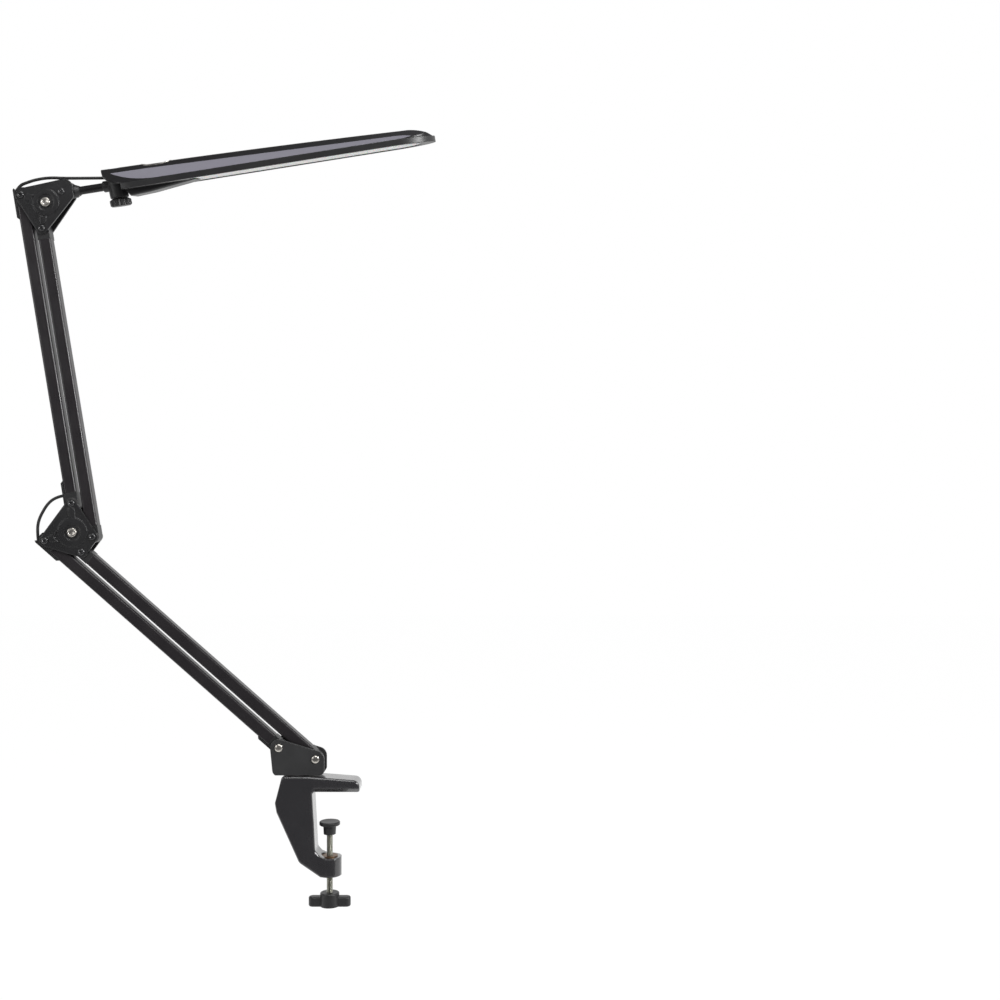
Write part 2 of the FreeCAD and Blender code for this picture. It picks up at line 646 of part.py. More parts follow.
def arm_tube(name):
    """Square tube with rounded corners, along X."""
    body = new_body(name)
    section = rectangle(sketch_on(body, "YZ_Plane", "tube_setback"), "-bar_width / 2",
                        "bar_width / 2", "-bar_width / 2", "bar_width / 2")
    pad(body, section, "arm_pitch - 2 * tube_setback")
    def long_edge(edge):
        return edge.BoundBox.XLength > mm("arm_pitch") / 2
    round_edges(body, "bar_corner", long_edge)
    hollow = rectangle(sketch_on(body, "YZ_Plane", "tube_setback - 1"), "-bar_width / 2 + bar_wall",
                       "bar_width / 2 - bar_wall", "-bar_width / 2 + bar_wall",
                       "bar_width / 2 - bar_wall")
    pocket(body, hollow, "arm_pitch", reverse=True)
    return body


def both_ends(name, fitting):
    """The fitting and its mirror image at the other end of the bar."""
    other = doc.addObject("Part::Mirroring", name + "_far")
    other.Source = fitting
    other.Normal = Vector(1, 0, 0)
    bind(other, Base__x="arm_pitch / 2")
    group = doc.addObject("Part::Compound", name)
    group.Links = [fitting, other]
    return group


def arm_bar(name, start, angle, covered):
    """Tube and its two end fittings along the bar from its lower pivot, and the cord inside."""
    place = Placement(start, turned_up(angle))
    keep(arm_tube(name + "_tube"), name + "_tube", place)
    fitting = end_fitting(name + "_end", covered)
    keep(both_ends(name + "_ends", fitting), name + "_ends", place)
    if covered:
        wire = doc.addObject("Part::Cylinder", name + "_cord")
        bind(wire, Radius="cord_radius", Height="arm_pitch - 2 * tube_setback - 2 * end_plug_length")
        inset = mm("tube_setback + end_plug_length")
        along = Placement(Vector(inset, 0, 0), Rotation(Vector(0, 1, 0), 90))
        keep(wire, name + "_cord", place.multiply(along))


# ---------------------------------------------------------------- bracket plates
def bracket_plate(name, circles, front, holes, relief):
    """Stamped plate in the XZ plane: a raised disc with lobes, dished round its bolt."""
    body = new_body(name)
    inner = "bar_width / 2 + friction_washer"
    side = "" if front else "-"
    lift = inner if front else f"-({inner}) - plate_thickness"
    pad(body, draw(sketch_on(body, "XZ_Plane", lift), hull(*circles)), "plate_thickness")
    face = f"{inner} + plate_thickness" + ("" if front else " + emboss_height")
    bolt, radius, lobes = relief
    disc = sketch_on(body, "XZ_Plane", f"{side}({face})")
    circle(disc, "dish_radius", str(bolt.x), str(bolt.z))
    circle(disc, radius, str(bolt.x), str(bolt.z))
    pad(body, disc, "emboss_height")
    for lobe in lobes:
        pad(body, draw(sketch_on(body, "XZ_Plane", f"{side}({face})"), hull(*lobe)), "emboss_height")
    cut = sketch_on(body, "XZ_Plane")
    for point, size in holes:
        circle(cut, size, str(point.x), str(point.z))
    pocket(body, cut)
    return keep(body, name)


def lobe_towards(bolt, pivot, start, wide, narrow):
    """Tapered slot from beside the bolt's dish to just short of a pivot's head."""
    away = (pivot - bolt).normalize()
    stop = (pivot - bolt).Length - mm("pivot_head_radius") - narrow - 0.4
    a, b = bolt + away * start, bolt + away * stop
    return ((a.x, a.z, wide), (b.x, b.z, narrow))


def elbow_plates():
    pivots = (ELBOW_LOW_OUTER, ELBOW_LOW_INNER, ELBOW_HIGH_INNER, ELBOW_HIGH_OUTER)
    circles = [(p.x, p.z, r) for p, r in zip(pivots, (7.2, 7.0, 7.4, 6.2))]
    holes = [(pivot, "pivot_radius + running_clearance") for pivot in pivots]
    holes.append((ELBOW_BOLT, "bolt_radius + running_clearance"))
    lobes = [lobe_towards(ELBOW_BOLT, ELBOW_HIGH_OUTER, 15.2, 4.4, 4.2),
             lobe_towards(ELBOW_BOLT, ELBOW_LOW_OUTER, 17.4, 6.6, 4.0)]
    relief = (ELBOW_BOLT, "elbow_relief_radius", lobes)
    bracket_plate("elbow_front_plate", circles, True, holes, relief)
    bracket_plate("elbow_back_plate", circles, False, holes, relief)


def head_plates():
    nose = HEAD_OUTER + Vector(60.5, 0, 0)
    shoulder = HEAD_OUTER + Vector(56.6, 0, 9.0)
    circles = [(HEAD_OUTER.x, HEAD_OUTER.z, 8.2), (HEAD_INNER.x, HEAD_INNER.z, 7.4),
               (nose.x, nose.z, 8.5), (shoulder.x, shoulder.z, 11.5)]
    holes = [(p, "pivot_radius + running_clearance") for p in (HEAD_OUTER, HEAD_INNER, STEM_RIVET)]
    holes.append((HEAD_BOLT, "bolt_radius + running_clearance"))
    lobes = [lobe_towards(HEAD_BOLT, HEAD_OUTER, 14.8, 4.2, 3.8),
             lobe_towards(HEAD_BOLT, HEAD_INNER, 14.8, 4.2, 3.8)]
    relief = (HEAD_BOLT, "head_relief_radius", lobes)
    bracket_plate("head_front_plate", circles, True, holes, relief)
    circles[2] = (nose.x - 0.5, nose.z + 1.5, 6.0)
    bracket_plate("head_back_plate", circles, False, holes, relief)


def friction_bolt(name, centre):
    """Bolt and nut across a bracket, on the dished flats of its plates."""
    face = "bar_width / 2 + friction_washer + plate_thickness"
    end = f"-({face}) - nut_height - 1.5"
    bolt = turned(name + "_bolt", ("0", end), ("bolt_radius", end), ("bolt_radius", face),
                  ("bolt_head_radius", face),
                  ("bolt_head_radius", f"{face} + bolt_head_height - 1.4"),
                  ("bolt_head_radius - 1.6", f"{face} + bolt_head_height"),
                  ("0", f"{face} + bolt_head_height"))
    keep(bolt, name + "_bolt", on_pin(centre))
    nut = hexagon(name + "_nut", "nut_flats", "nut_height", "bolt_radius + press_clearance")
    keep(nut, name + "_nut", on_pin(centre, mm(face), flipped=True))


def elbow_spacer():
    """Tube that keeps the elbow plates apart round their bolt."""
    inside = "bar_width / 2 + friction_washer"
    tube = ring("elbow_spacer", "bolt_radius + running_clearance", "bolt_radius + 2.4",
                f"2 * ({inside})")
    return keep(tube, "elbow_spacer", on_pin(ELBOW_BOLT, mm(inside)))


# ---------------------------------------------------------------- stem
def stem_socket():
    """Block between the head plates that ends in a tapered collar round the stem."""
    body = new_body("stem_socket")
    bolt = STEM_FRAME.inverse().multVec(HEAD_BOLT)
    root = hull((bolt.x, bolt.z, 8.4), (0, 0, 8.4))
    pad(body, draw(sketch_on(body, "XZ_Plane"), root), "bar_width + 2 * friction_washer",
        both_ways=True)
    barrel = polygon(sketch_on(body, "XY_Plane"), ("0.5", "0"), ("0.5", "8.3"), ("16.8", "8.3"),
                     ("socket_length", "socket_mouth_radius"), ("socket_length", "0"))
    revolve(body, barrel, "H_Axis")
    bore = circle(sketch_on(body, "YZ_Plane", "socket_bore_start"), "stem_radius + running_clearance")
    pocket(body, bore, "socket_length", reverse=True)
    pins = sketch_on(body, "XZ_Plane")
    circle(pins, "pivot_radius + press_clearance")
    circle(pins, "bolt_radius + running_clearance", str(bolt.x), str(bolt.z))
    pocket(body, pins)
    grub = circle(sketch_on(body, "XY_Plane"), "1.5 + press_clearance", "19")
    pocket(body, grub, "12")
    return keep(body, "stem_socket", STEM_FRAME)


def stem_grub_screw():
    """Grub screw from below into the stem's groove: it lets the stem turn but not pull out."""
    body = turned("stem_grub_screw", ("0", "-6.9"), ("1.5", "-6.9"), ("1.5", "-4.9"),
                  ("1.1", "-4.5"), ("0", "-4.5"))
    return keep(body, "stem_grub_screw", STEM_FRAME.multiply(Placement(Vector(19, 0, 0), Rotation())))


def head_stem():
    """Stem rod with the groove for the grub screw."""
    body = new_body("head_stem")
    profile = polygon(sketch_on(body, "XY_Plane"),
                      ("socket_bore_start + 0.3", "0"), ("socket_bore_start + 0.3", "stem_radius - 0.5"),
                      ("socket_bore_start + 0.8", "stem_radius"), ("17", "stem_radius"),
                      ("17", "stem_radius - 1"), ("21", "stem_radius - 1"), ("21", "stem_radius"),
                      ("stem_reach - 5", "stem_radius"), ("stem_reach - 5", "0"))
    revolve(body, profile, "H_Axis")
    return keep(body, "head_stem", STEM_FRAME)


def knuckle():
    """Moulded barrel on the stem's end; the pan stud goes down through it."""
    body = new_body("knuckle")
    pad(body, circle(sketch_on(body, "XY_Plane", "knuckle_bottom"), "knuckle_radius"),
        "knuckle_top - knuckle_bottom")
    round_edges(body, 1.5, in_plane("Z", mm("knuckle_bottom"), mm("knuckle_top")))
    neck = circle(sketch_on(body, "YZ_Plane", "-knuckle_radius - 6"), "7.2")
    pad(body, neck, "knuckle_radius")
    round_edges(body, 1.2, in_plane("X", -mm("knuckle_radius") - 6))
    bore = circle(sketch_on(body, "YZ_Plane", "-knuckle_radius - 7"), "stem_radius + press_clearance")
    pocket(body, bore, "knuckle_radius + 7 - 5", reverse=True)
    pocket(body, circle(sketch_on(body, "XY_Plane", "knuckle_top + 1"), "pan_radius + running_clearance"),
           "knuckle_top - knuckle_bottom + 2")
    return keep(body, "knuckle", HEAD_FRAME)


def pan_washer():
    body = ring("pan_washer", "pan_radius + running_clearance", "knuckle_radius - 2", "pan_washer_height")
    lifted = Placement(Vector(0, 0, mm("knuckle_top")), Rotation())
    return keep(body, "pan_washer", HEAD_FRAME.multiply(lifted))


def pan_knob():
    """Fluted knob that tightens the pan pivot."""
    body = new_body("pan_knob")
    top = "knuckle_bottom - knob_gap"
    profile = polygon(sketch_on(body, "XZ_Plane"),
                      ("0", top), ("knob_radius - 3.4", top), ("knob_radius", top + " - 2.2"),
                      ("knob_radius", top + " - knob_height + 1.6"),
                      ("knob_radius - 1.8", top + " - knob_height"),
                      ("0", top + " - knob_height"))
    revolve(body, profile)
    flute = circle(sketch_on(body, "XY_Plane", top + " - knob_height - 1"), "2.6", "knob_radius + 1.3")
    cut = pocket(body, flute, "knob_height + 2", reverse=True)
    pattern = body.newObject("PartDesign::PolarPattern", "pan_knob_flutes")
    pattern.Originals = [cut]
    pattern.Axis = (flute, ["N_Axis"])
    pattern.Angle = 360
    pattern.Occurrences = 14
    body.Tip = pattern
    doc.recompute()
    stud = circle(sketch_on(body, "XY_Plane", top + " + 1"), "pan_radius + press_clearance")
    pocket(body, stud, "1 + knob_height - 3")
    return keep(body, "pan_knob", HEAD_FRAME)


def pan_stud():
    """Stud from the knob up through the knuckle, the head's bracket and its nut."""
    top = "knuckle_top + pan_washer_height + 3 + 3"
    body = turned("pan_stud",
                  ("0", "knuckle_bottom - knob_gap - knob_height + 3.1"),
                  ("pan_radius", "knuckle_bottom - knob_gap - knob_height + 3.1"),
                  ("pan_radius", top + " - 0.6"), ("pan_radius - 0.6", top), ("0", top))
    return keep(body, "pan_stud", HEAD_FRAME)


def pan_nut():
    body = hexagon("pan_nut", "nut_flats", "3", "pan_radius + running_clearance")
    lifted = Placement(Vector(0, 0, mm("knuckle_top + pan_washer_height + 3")), Rotation())
    return keep(body, "pan_nut", HEAD_FRAME.multiply(lifted))


# ---------------------------------------------------------------- lamp head
def plan_prism(inset, low, high, lip_at=None):
    """The head's plan, a long shape with elliptical ends, drawn in by inset and made a prism."""
    half = mm("head_half_width") - inset
    lip = mm("head_lip") + inset if lip_at is None else lip_at
    tip = mm("head_tip") - inset
    lip_long, tip_long = mm("lip_round"), mm("tip_round")
    left = half_ellipse(lip + lip_long, lip_long, half, -1)
    right = half_ellipse(tip - tip_long, tip_long, half, 1)
    edges = [left, line((lip + lip_long, -half), (tip - tip_long, -half)),
             right, line((tip - tip_long, half), (lip + lip_long, half))]
    wire = Part.Wire(Part.__sortEdges__([edge.toShape() for edge in edges]))
    face = Part.Face(wire)
    face.translate(Vector(0, 0, low))
    return face.extrude(Vector(0, 0, high - low))


def half_ellipse(x, length, half, towards):
    """Half of the ellipse round (x, 0) that lies towards +X or -X, length long and half wide."""
    ellipse = Part.Ellipse(Vector(x, 0, 0), max(length, half), min(length, half))
    first = -math.pi / 2 if towards > 0 else math.pi / 2
    if length < half:
        ellipse.rotate(Placement(Vector(x, 0, 0), Rotation(Vector(0, 0, 1), 90)))
        first -= math.pi / 2
    return Part.ArcOfEllipse(ellipse, first, first + math.pi)


def crest(x):
    """Height of the crest, on the arc through its three given heights."""
    lip, end = mm("head_lip"), mm("head_tip - nose_length")
    low, mid, high = mm("crest_lip"), mm("crest_middle"), mm("crest_end")
    share = (x - lip) / (end - lip)
    return (low * (1 - share) * (1 - 2 * share) + 4 * mid * share * (1 - share)
            + high * share * (2 * share - 1))


def crown_section(x, inset, base):
    """Gabled cross-section with a rounded ridge, at x, drawn in by inset."""
    half, ridge = mm("head_half_width"), mm("ridge_round")
    eave = mm("head_bottom + rim_height")
    angle = math.atan((crest(x) - eave) / half)
    for _ in range(20):
        apex = crest(x) + ridge * (1 / math.cos(angle) - 1)
        angle = math.atan((apex - eave) / half)
    rise = math.tan(angle)
    width = half - inset
    corner = eave + inset * rise - inset / math.cos(angle)
    radius = ridge - inset
    side = radius * math.sin(angle)
    shoulder = corner + (width - side) * rise
    top = crest(x) - inset
    points = [(-width, base), (-width, corner), (-side, shoulder)]
    mirrored = [(-y, z) for y, z in reversed(points)]
    at = [Vector(x, y, z) for y, z in points + mirrored]
    edges = [Part.LineSegment(at[0], at[1]).toShape(), Part.LineSegment(at[1], at[2]).toShape(),
             Part.Arc(at[2], Vector(x, 0, top), at[3]).toShape(),
             Part.LineSegment(at[3], at[4]).toShape(), Part.LineSegment(at[4], at[5]).toShape(),
             Part.LineSegment(at[5], at[0]).toShape()]
    return Part.Wire(edges)


def crown(inset, base):
    """Solid under the head's gabled top, longer than the head at both ends."""
    start, stop = mm("head_lip") - 20, mm("head_tip") + 15
    stations = [start + (stop - start) * k / 5 for k in range(6)]
    return Part.makeLoft([crown_section(x, inset, base) for x in stations], True, False)


def nose_prism(inset):
    """Side profile: it follows the crest from above and drops in an arc to the tip."""
    half = mm("head_half_width") + 5
    tip, drop = mm("head_tip"), mm("head_tip - nose_length")
    left = mm("head_lip") - 30
    end = Vector(tip - inset, 0, mm("tip_height"))
    start = Vector(drop, 0, crest(drop) - inset)
    over = Vector(drop, 0, 60)
    middle = Vector(drop + (tip - drop) * 0.58, 0,
                    mm("tip_height") + (crest(drop) - mm("tip_height")) * 0.63 - inset)
    corners = [Vector(left, 0, 60), Vector(left, 0, -60), Vector(tip - inset, 0, -60), end]
    edges = [Part.LineSegment(corners[0], corners[1]), Part.LineSegment(corners[1], corners[2]),
             Part.LineSegment(corners[2], corners[3]), Part.Arc(end, middle, start),
             Part.LineSegment(start, over), Part.LineSegment(over, corners[0])]
    face = Part.Face(Part.Wire([edge.toShape() for edge in edges]))
    face.translate(Vector(0, -half, 0))
    return face.extrude(Vector(0, 2 * half, 0))


def upright(pieces, low, high):
    """Prism of an outline of the head's plan."""
    face = Part.Face(Part.Wire([piece.toShape() for piece in pieces]))
    face.translate(Vector(0, 0, low))
    return face.extrude(Vector(0, 0, high - low))


def oval(x, length, width, low, high):
    ring_edge = Part.Ellipse(Vector(x, 0, 0), length, width).toShape()
    face = Part.Face(Part.Wire([ring_edge]))
    face.translate(Vector(0, 0, low))
    return face.extrude(Vector(0, 0, high - low))


def inlay_outline(gap, side):
    """Long tapered inlay on one slope of the head, grown by gap."""
    low, high, shoulder = 40.6 + gap, 15.5 - gap, 24.5 - gap
    points = {"heel": (-2.0 - gap, high), "bend": (46.0, high), "top": (366.0, shoulder),
              "over": (381.5, 27.4 - gap), "leaf": (391.5 + gap, 34.6), "under": (381.5, 38.9 + gap),
              "low": (366.0, low), "sole": (60.0, low), "cheek": (24.0, 32.0 + gap)}
    at = {name: (x, side * y) for name, (x, y) in points.items()}
    return [line(at["heel"], at["bend"]), line(at["bend"], at["top"]),
            arc(at["top"], at["over"], at["leaf"]), arc(at["leaf"], at["under"], at["low"]),
            line(at["low"], at["sole"]), arc(at["sole"], at["cheek"], at["heel"])]


def head_form():
    """Outer form of the head above its rim."""
    eave = mm("head_bottom + rim_height")
    return crown(0, eave - 20).common(plan_prism(0, eave, 60)).common(nose_prism(0))


def head_shell():
    """Top shell: gabled, open below and at the stem, recessed for the inlays and the key."""
    eave = mm("head_bottom + rim_height")
    wall = mm("shell_wall")
    outside = head_form()
    hollow = crown(wall, eave - 5).common(plan_prism(wall, eave - 5, 60, mm("head_lip") - 40))
    hollow = hollow.common(nose_prism(wall))
    shell = outside.cut(hollow)
    under = crown(mm("inlay_depth"), eave - 20)
    for side in (-1, 1):
        shell = shell.cut(upright(inlay_outline(mm("inlay_gap"), side), -20, 60).cut(under))
    shell = shell.cut(oval(mm("touch_x"), mm("touch_half_length"), mm("touch_half_width"), 0, 60))
    return shell.cut(oval(1.0, mm("cap_half_length"), mm("cap_half_width"), 0, 60))


def solid_feature(name, shape):
    """Registers a shape of the lamp head."""
    feature = doc.addObject("Part::Feature", name)
    feature.Shape = shape
    return keep(feature, name, HEAD_FRAME)


def inlays():
    """Satin side inlays, flush with the shell."""
    slab = head_form().cut(crown(mm("inlay_depth - inlay_film"), mm("head_bottom") - 20))
    pair = [slab.common(upright(inlay_outline(0, side), -20, 60)) for side in (-1, 1)]
    return solid_feature("side_inlays", Part.makeCompound(pair))


def touch_parts():
    """Bright oval ring and the dished key inside it, and the cap over the pan pivot."""
    gap = mm("inlay_gap")
    long, wide = mm("touch_half_length"), mm("touch_half_width")
    rim = crown(-0.3, -20).cut(crown(2.0, -20))
    hoop = oval(mm("touch_x"), long - gap, wide - gap, 0, 60).cut(
        oval(mm("touch_x"), long - 1.5, wide - 1.5, 0, 60))
    solid_feature("touch_ring", rim.common(hoop))
    dish = crown(1.0, -20).cut(crown(2.2, -20))
    solid_feature("touch_key", dish.common(oval(mm("touch_x"), long - 1.5 - gap, wide - 1.5 - gap, 0, 60)))
    cap = crown(0.2, -20).cut(crown(2.2, -20))
    solid_feature("pivot_cap", cap.common(
        oval(1.0, mm("cap_half_length") - gap, mm("cap_half_width") - gap, 0, 60)))


def stadium(start, stop, half, low, high):
    """Prism with a square start and an elliptical far end."""
    long = mm("tip_round") - (mm("head_tip") - stop)
    long = max(long, half * 0.5)
    right = half_ellipse(stop - long, long, half, 1)
    edges = [line((start, half), (start, -half)), line((start, -half), (stop - long, -half)), right,
             line((stop - long, half), (start, half))]
    face = Part.Face(Part.Wire(Part.__sortEdges__([edge.toShape() for edge in edges])))
    face.translate(Vector(0, 0, low))
    return face.extrude(Vector(0, 0, high - low))


def rim_frame():
    """Lower frame: upright rim, floor of the bay and the rabbet for the diffuser."""
    bottom, top = mm("head_bottom"), mm("head_bottom + rim_height")
    start = 14.0
    body = plan_prism(0, bottom, top)
    body = body.cut(Part.makeBox(200, 200, 40, Vector(start - 200, -100, bottom - 5)))
    inside = mm("rim_wall") + 0.5
    room = plan_prism(inside, bottom + 3, top + 1)
    body = body.cut(room.common(Part.makeBox(600, 200, 60, Vector(start + 3, -100, -30))))
    gap = mm("inlay_gap")
    half = mm("diffuser_half_width")
    rabbet = stadium(mm("bay_end") - gap, mm("diffuser_end") + gap, half + gap, bottom + 1, bottom + 3)
    window = stadium(mm("bay_end") + 2, mm("diffuser_end") - 2, half - 2, bottom - 1, bottom + 2)
    return solid_feature("rim_frame", body.cut(rabbet).cut(window))


def diffuser():
    low = mm("head_bottom") + 1
    return solid_feature("diffuser", stadium(mm("bay_end"), mm("diffuser_end"),
                                             mm("diffuser_half_width"), low,
                                             low + mm("diffuser_thickness")))


def heat_spreader():
    """Aluminium channel that carries the light board, standing on the diffuser's edges."""
    foot = mm("head_bottom") + 1 + mm("diffuser_thickness")
    top = mm("head_bottom + rim_height") - 0.2
    half = mm("diffuser_half_width") - 1.6
    start, stop = mm("bay_end") + 3, mm("diffuser_end") - 46
    outer = Part.makeBox(stop - start, 2 * half, top - foot, Vector(start, -half, foot))
    inner = Part.makeBox(stop - start + 2, 2 * (half - 1.6), top - foot - 1.4,
                         Vector(start - 1, -half + 1.6, foot))
    return solid_feature("heat_spreader", outer.cut(inner))


def light_board():
    """Board with two rows of light chips under the spreader."""
    top = mm("head_bottom + rim_height") - 0.2 - 1.4
    half = mm("diffuser_half_width") - 4
    start, stop = mm("bay_end") + 5, mm("diffuser_end") - 48
    board = Part.makeBox(stop - start, 2 * half, 1.4, Vector(start, -half, top - 1.4))
    solid_feature("light_board", board)
    chips = []
    pitch, count = 17.0, 14
    for k in range(count):
        for side in (-1, 1):
            corner = Vector(start + 12 + pitch * k, side * 15 - 2, top - 1.4 - 0.8)
            chips.append(Part.makeBox(4, 4, 0.8, corner))
    solid_feature("light_chips", Part.makeCompound(chips))


def head_bracket_strap():
    """Bent steel strap from above the knuckle down to the floor of the bay."""
    body = new_body("head_strap")
    floor = "head_bottom + 3"
    tongue = "knuckle_top + pan_washer_height"
    profile = polygon(sketch_on(body, "XZ_Plane"),
                      ("-10", tongue), ("19", tongue), ("27", floor), ("62", floor),
                      ("62", floor + " + 3"), ("29.2", floor + " + 3"), ("21.2", tongue + " + 3"),
                      ("-10", tongue + " + 3"))
    pad(body, profile, "16", both_ways=True)
    corners = (mm(tongue), mm(tongue) + 3)
    round_edges(body, 7.0, lambda edge: len(edge.Vertexes) == 2 and abs(edge.BoundBox.XMax + 10) < 1e-6
                and edge.BoundBox.ZLength > 2 and edge.BoundBox.ZMin > corners[0] - 0.1)
    pocket(body, circle(sketch_on(body, "XY_Plane", tongue + " + 4"), "pan_radius + running_clearance"),
           "6")
    return keep(body, "head_strap", HEAD_FRAME)


def driver_board():
    """Control board on the strap's foot, with its coil and capacitor."""
    low = mm("head_bottom") + 6
    board = Part.makeBox(52, 30, 1.6, Vector(34, -15, low))
    coil = Part.makeBox(12, 12, 5, Vector(66, -11, low + 1.6))
    can = Part.makeCylinder(3.5, 6, Vector(74, 9, low + 1.6))
    return solid_feature("driver_board", board.fuse(coil).fuse(can))


def belly_cover():
    """Fairing under the closed bay, deepest beside the knob."""
    body = new_body("belly_cover")
    top = "head_bottom"
    profile = polygon(sketch_on(body, "XZ_Plane"),
                      ("14.5", top), ("19.5", "-17.6"), ("46", "-16.2"), ("104", top + " - 0.8"),
                      ("106", top))
    pad(body, profile, "40", both_ways=True)
    round_edges(body, 3.0, lambda edge: edge.BoundBox.XLength > 20 and edge.BoundBox.YLength < 0.01
                and edge.BoundBox.ZMax < mm(top) - 0.5)
    return keep(body, "belly_cover", HEAD_FRAME)


def cord_gland():
    """Upright gland on the rim's end wall, where the cord enters the head."""
    body = new_body("cord_gland")
    low = "head_bottom + rim_height"
    outline = rectangle(sketch_on(body, "YZ_Plane", "14"), "8.1", "13.9", low, "12.9")
    pad(body, outline, "3")
    def upright_edge(edge):
        return edge.BoundBox.XLength > 2.9 and edge.BoundBox.ZMin > 12
    round_edges(body, 2.0, upright_edge)
    pocket(body, circle(sketch_on(body, "YZ_Plane", "13"), "cord_radius - 0.4", "11", "9.95"), "5",
           reverse=True)
    return keep(body, "cord_gland", HEAD_FRAME)


# ---------------------------------------------------------------- cord
def tube(name, route):
    """Round cord along a route: straight runs joined by tangent arcs as large as they fit."""
    points = [Vector(*point) for point in route]
    runs = [(b - a).Length for a, b in zip(points, points[1:])]
    edges, at, radii = [], points[0], []
    for i in range(1, len(points) - 1):
        back = (points[i - 1] - points[i]).normalize()
        ahead = (points[i + 1] - points[i]).normalize()
        half_turn = (math.pi - back.getAngle(ahead)) / 2
        trim = 0.45 * min(runs[i - 1], runs[i])
        radius = trim / math.tan(half_turn)
        radii.append(round(radius, 1))
        start, end = points[i] + back * trim, points[i] + ahead * trim
        inward = (back + ahead).normalize()
        centre = points[i] + inward * math.hypot(trim, radius)
        middle = centre - inward * radius
        edges.append(Part.LineSegment(at, start).toShape())
        edges.append(Part.Arc(start, middle, end).toShape())
        at = end
    edges.append(Part.LineSegment(at, points[-1]).toShape())
    path = Part.Wire(edges)
    radius = mm("cord_radius")
    section = Part.Wire([Part.Circle(points[0], points[1] - points[0], radius).toShape()])
    shape = path.makePipeShell([section], True, False)
    print(f"{name}: route {[tuple(round(c, 2) for c in point) for point in route]}")
    print(f"{name}: length {path.Length:.1f}, arcs {radii}, "
          f"volume {shape.Volume / (math.pi * radius * radius * path.Length):.4f} of section x length")
    feature = doc.addObject("Part::Feature", name)
    feature.Shape = shape
    return keep(feature, name)


def on_bar(pivot, angle, along, outward):
    """Point of the arm's plane given from a pivot, along its bar and towards its outer side."""
    return tuple(Placement(pivot, turned_up(angle)).multVec(Vector(along, 0, outward)))


def from_port(pivot, angle, distance):
    """Point on the axis of the slanted cord port at the far end of a covered bar."""
    tip = Vector(-mm(PORT_TIP[0]), 0, mm(PORT_TIP[1]))
    notch = Vector(-mm(PORT_NOTCH[0]), 0, mm(PORT_NOTCH[1]))
    edge = (tip - notch).normalize()
    point = (tip + notch) * 0.5 + Vector(edge.z, 0, -edge.x) * distance
    return on_bar(pivot, angle, point.x, point.z)


def in_head(x, y, z):
    return tuple(HEAD_FRAME.multVec(Vector(x, y, z)))


def halfway(a, b):
    return tuple((one + other) / 2 for one, other in zip(a, b))


# The cord leaves every fitting square to its face; the other points are chosen by eye.
SIDE = mm("bar_width / 2 + cover_proud")
UPPER, LOWER = mm("upper_arm_angle"), mm("lower_arm_angle")

ELBOW_CORD_HIGH = [on_bar(ELBOW_HIGH_OUTER, UPPER, 11.9, SIDE),
                   on_bar(ELBOW_HIGH_OUTER, UPPER, 11.9, SIDE + 9), (-368.3, 0, 376.8)]
ELBOW_CORD_LOW = [(-377.6, 0, 361.8), (-382.2, 0, 350.0), from_port(ELBOW_LOW_OUTER, LOWER, 9.5),
                  from_port(ELBOW_LOW_OUTER, LOWER, 0)]
HEAD_CORD_LOW = [from_port(HEAD_OUTER, UPPER, 0), from_port(HEAD_OUTER, UPPER, 8.0),
                 (-398.3, 0, 795.0), (-385.5, 0, 799.4)]
HEAD_CORD_MIDDLE = [(-367.0, 0, 802.2), (-347.0, 0, 801.3)]
HEAD_CORD_HIGH = [(-315.0, 3.2, 802.3), in_head(-4, 11, 9.95), in_head(14, 11, 9.95)]


def joined_tubes(first, second):
    """Ends one route and starts the next in the middle of the run between them."""
    split = halfway(first[-1], second[0])
    first.append(split)
    second.insert(0, split)


# ---------------------------------------------------------------- the lamp
clamp_frame()
clamp_thread_bush()
pressure_pad()
clamp_screw()
screw_handle()

swivel_bush()
finish_base_yoke(base_yoke())
swivel_post()
wide_pin = pivot_pin("wide_pin", "yoke_inner_gap / 2 + yoke_plate", "base_head_radius")
keep(repeat("base_pivot_pins", wide_pin, [on_pin(BASE_OUTER), on_pin(BASE_INNER)]), "base_pivot_pins")
spacer = ring("spacer", "pivot_radius + running_clearance", "yoke_spacer_radius",
              "yoke_inner_gap / 2 - bar_width / 2")
washers_at("base_spacers", spacer, (BASE_OUTER, BASE_INNER), mm("bar_width / 2"))

arm_bar("lower_outer_bar", BASE_OUTER, mm("lower_arm_angle"), True)
arm_bar("lower_inner_bar", BASE_INNER, mm("lower_arm_angle"), False)
arm_bar("upper_outer_bar", ELBOW_HIGH_OUTER, mm("upper_arm_angle"), True)
arm_bar("upper_inner_bar", ELBOW_HIGH_INNER, mm("upper_arm_angle"), False)

elbow_plates()
rivet = pivot_pin("rivet", "bar_width / 2 + friction_washer + plate_thickness", "pivot_head_radius")
friction = ring("friction", "pivot_radius + running_clearance", "friction_washer_radius",
                "friction_washer")
ELBOW_PIVOTS = (ELBOW_LOW_OUTER, ELBOW_LOW_INNER, ELBOW_HIGH_OUTER, ELBOW_HIGH_INNER)
keep(repeat("elbow_rivets", rivet, [on_pin(p) for p in ELBOW_PIVOTS]), "elbow_rivets")
washers_at("elbow_friction_washers", friction, ELBOW_PIVOTS, mm("bar_width / 2"))
friction_bolt("elbow", ELBOW_BOLT)
elbow_spacer()

head_plates()
keep(repeat("head_rivets", rivet, [on_pin(p) for p in (HEAD_OUTER, HEAD_INNER, STEM_RIVET)]), "head_rivets")
washers_at("head_friction_washers", friction, (HEAD_OUTER, HEAD_INNER), mm("bar_width / 2"))
friction_bolt("head", HEAD_BOLT)

stem_socket()
stem_grub_screw()
head_stem()
knuckle()
pan_washer()
pan_knob()
pan_stud()
pan_nut()

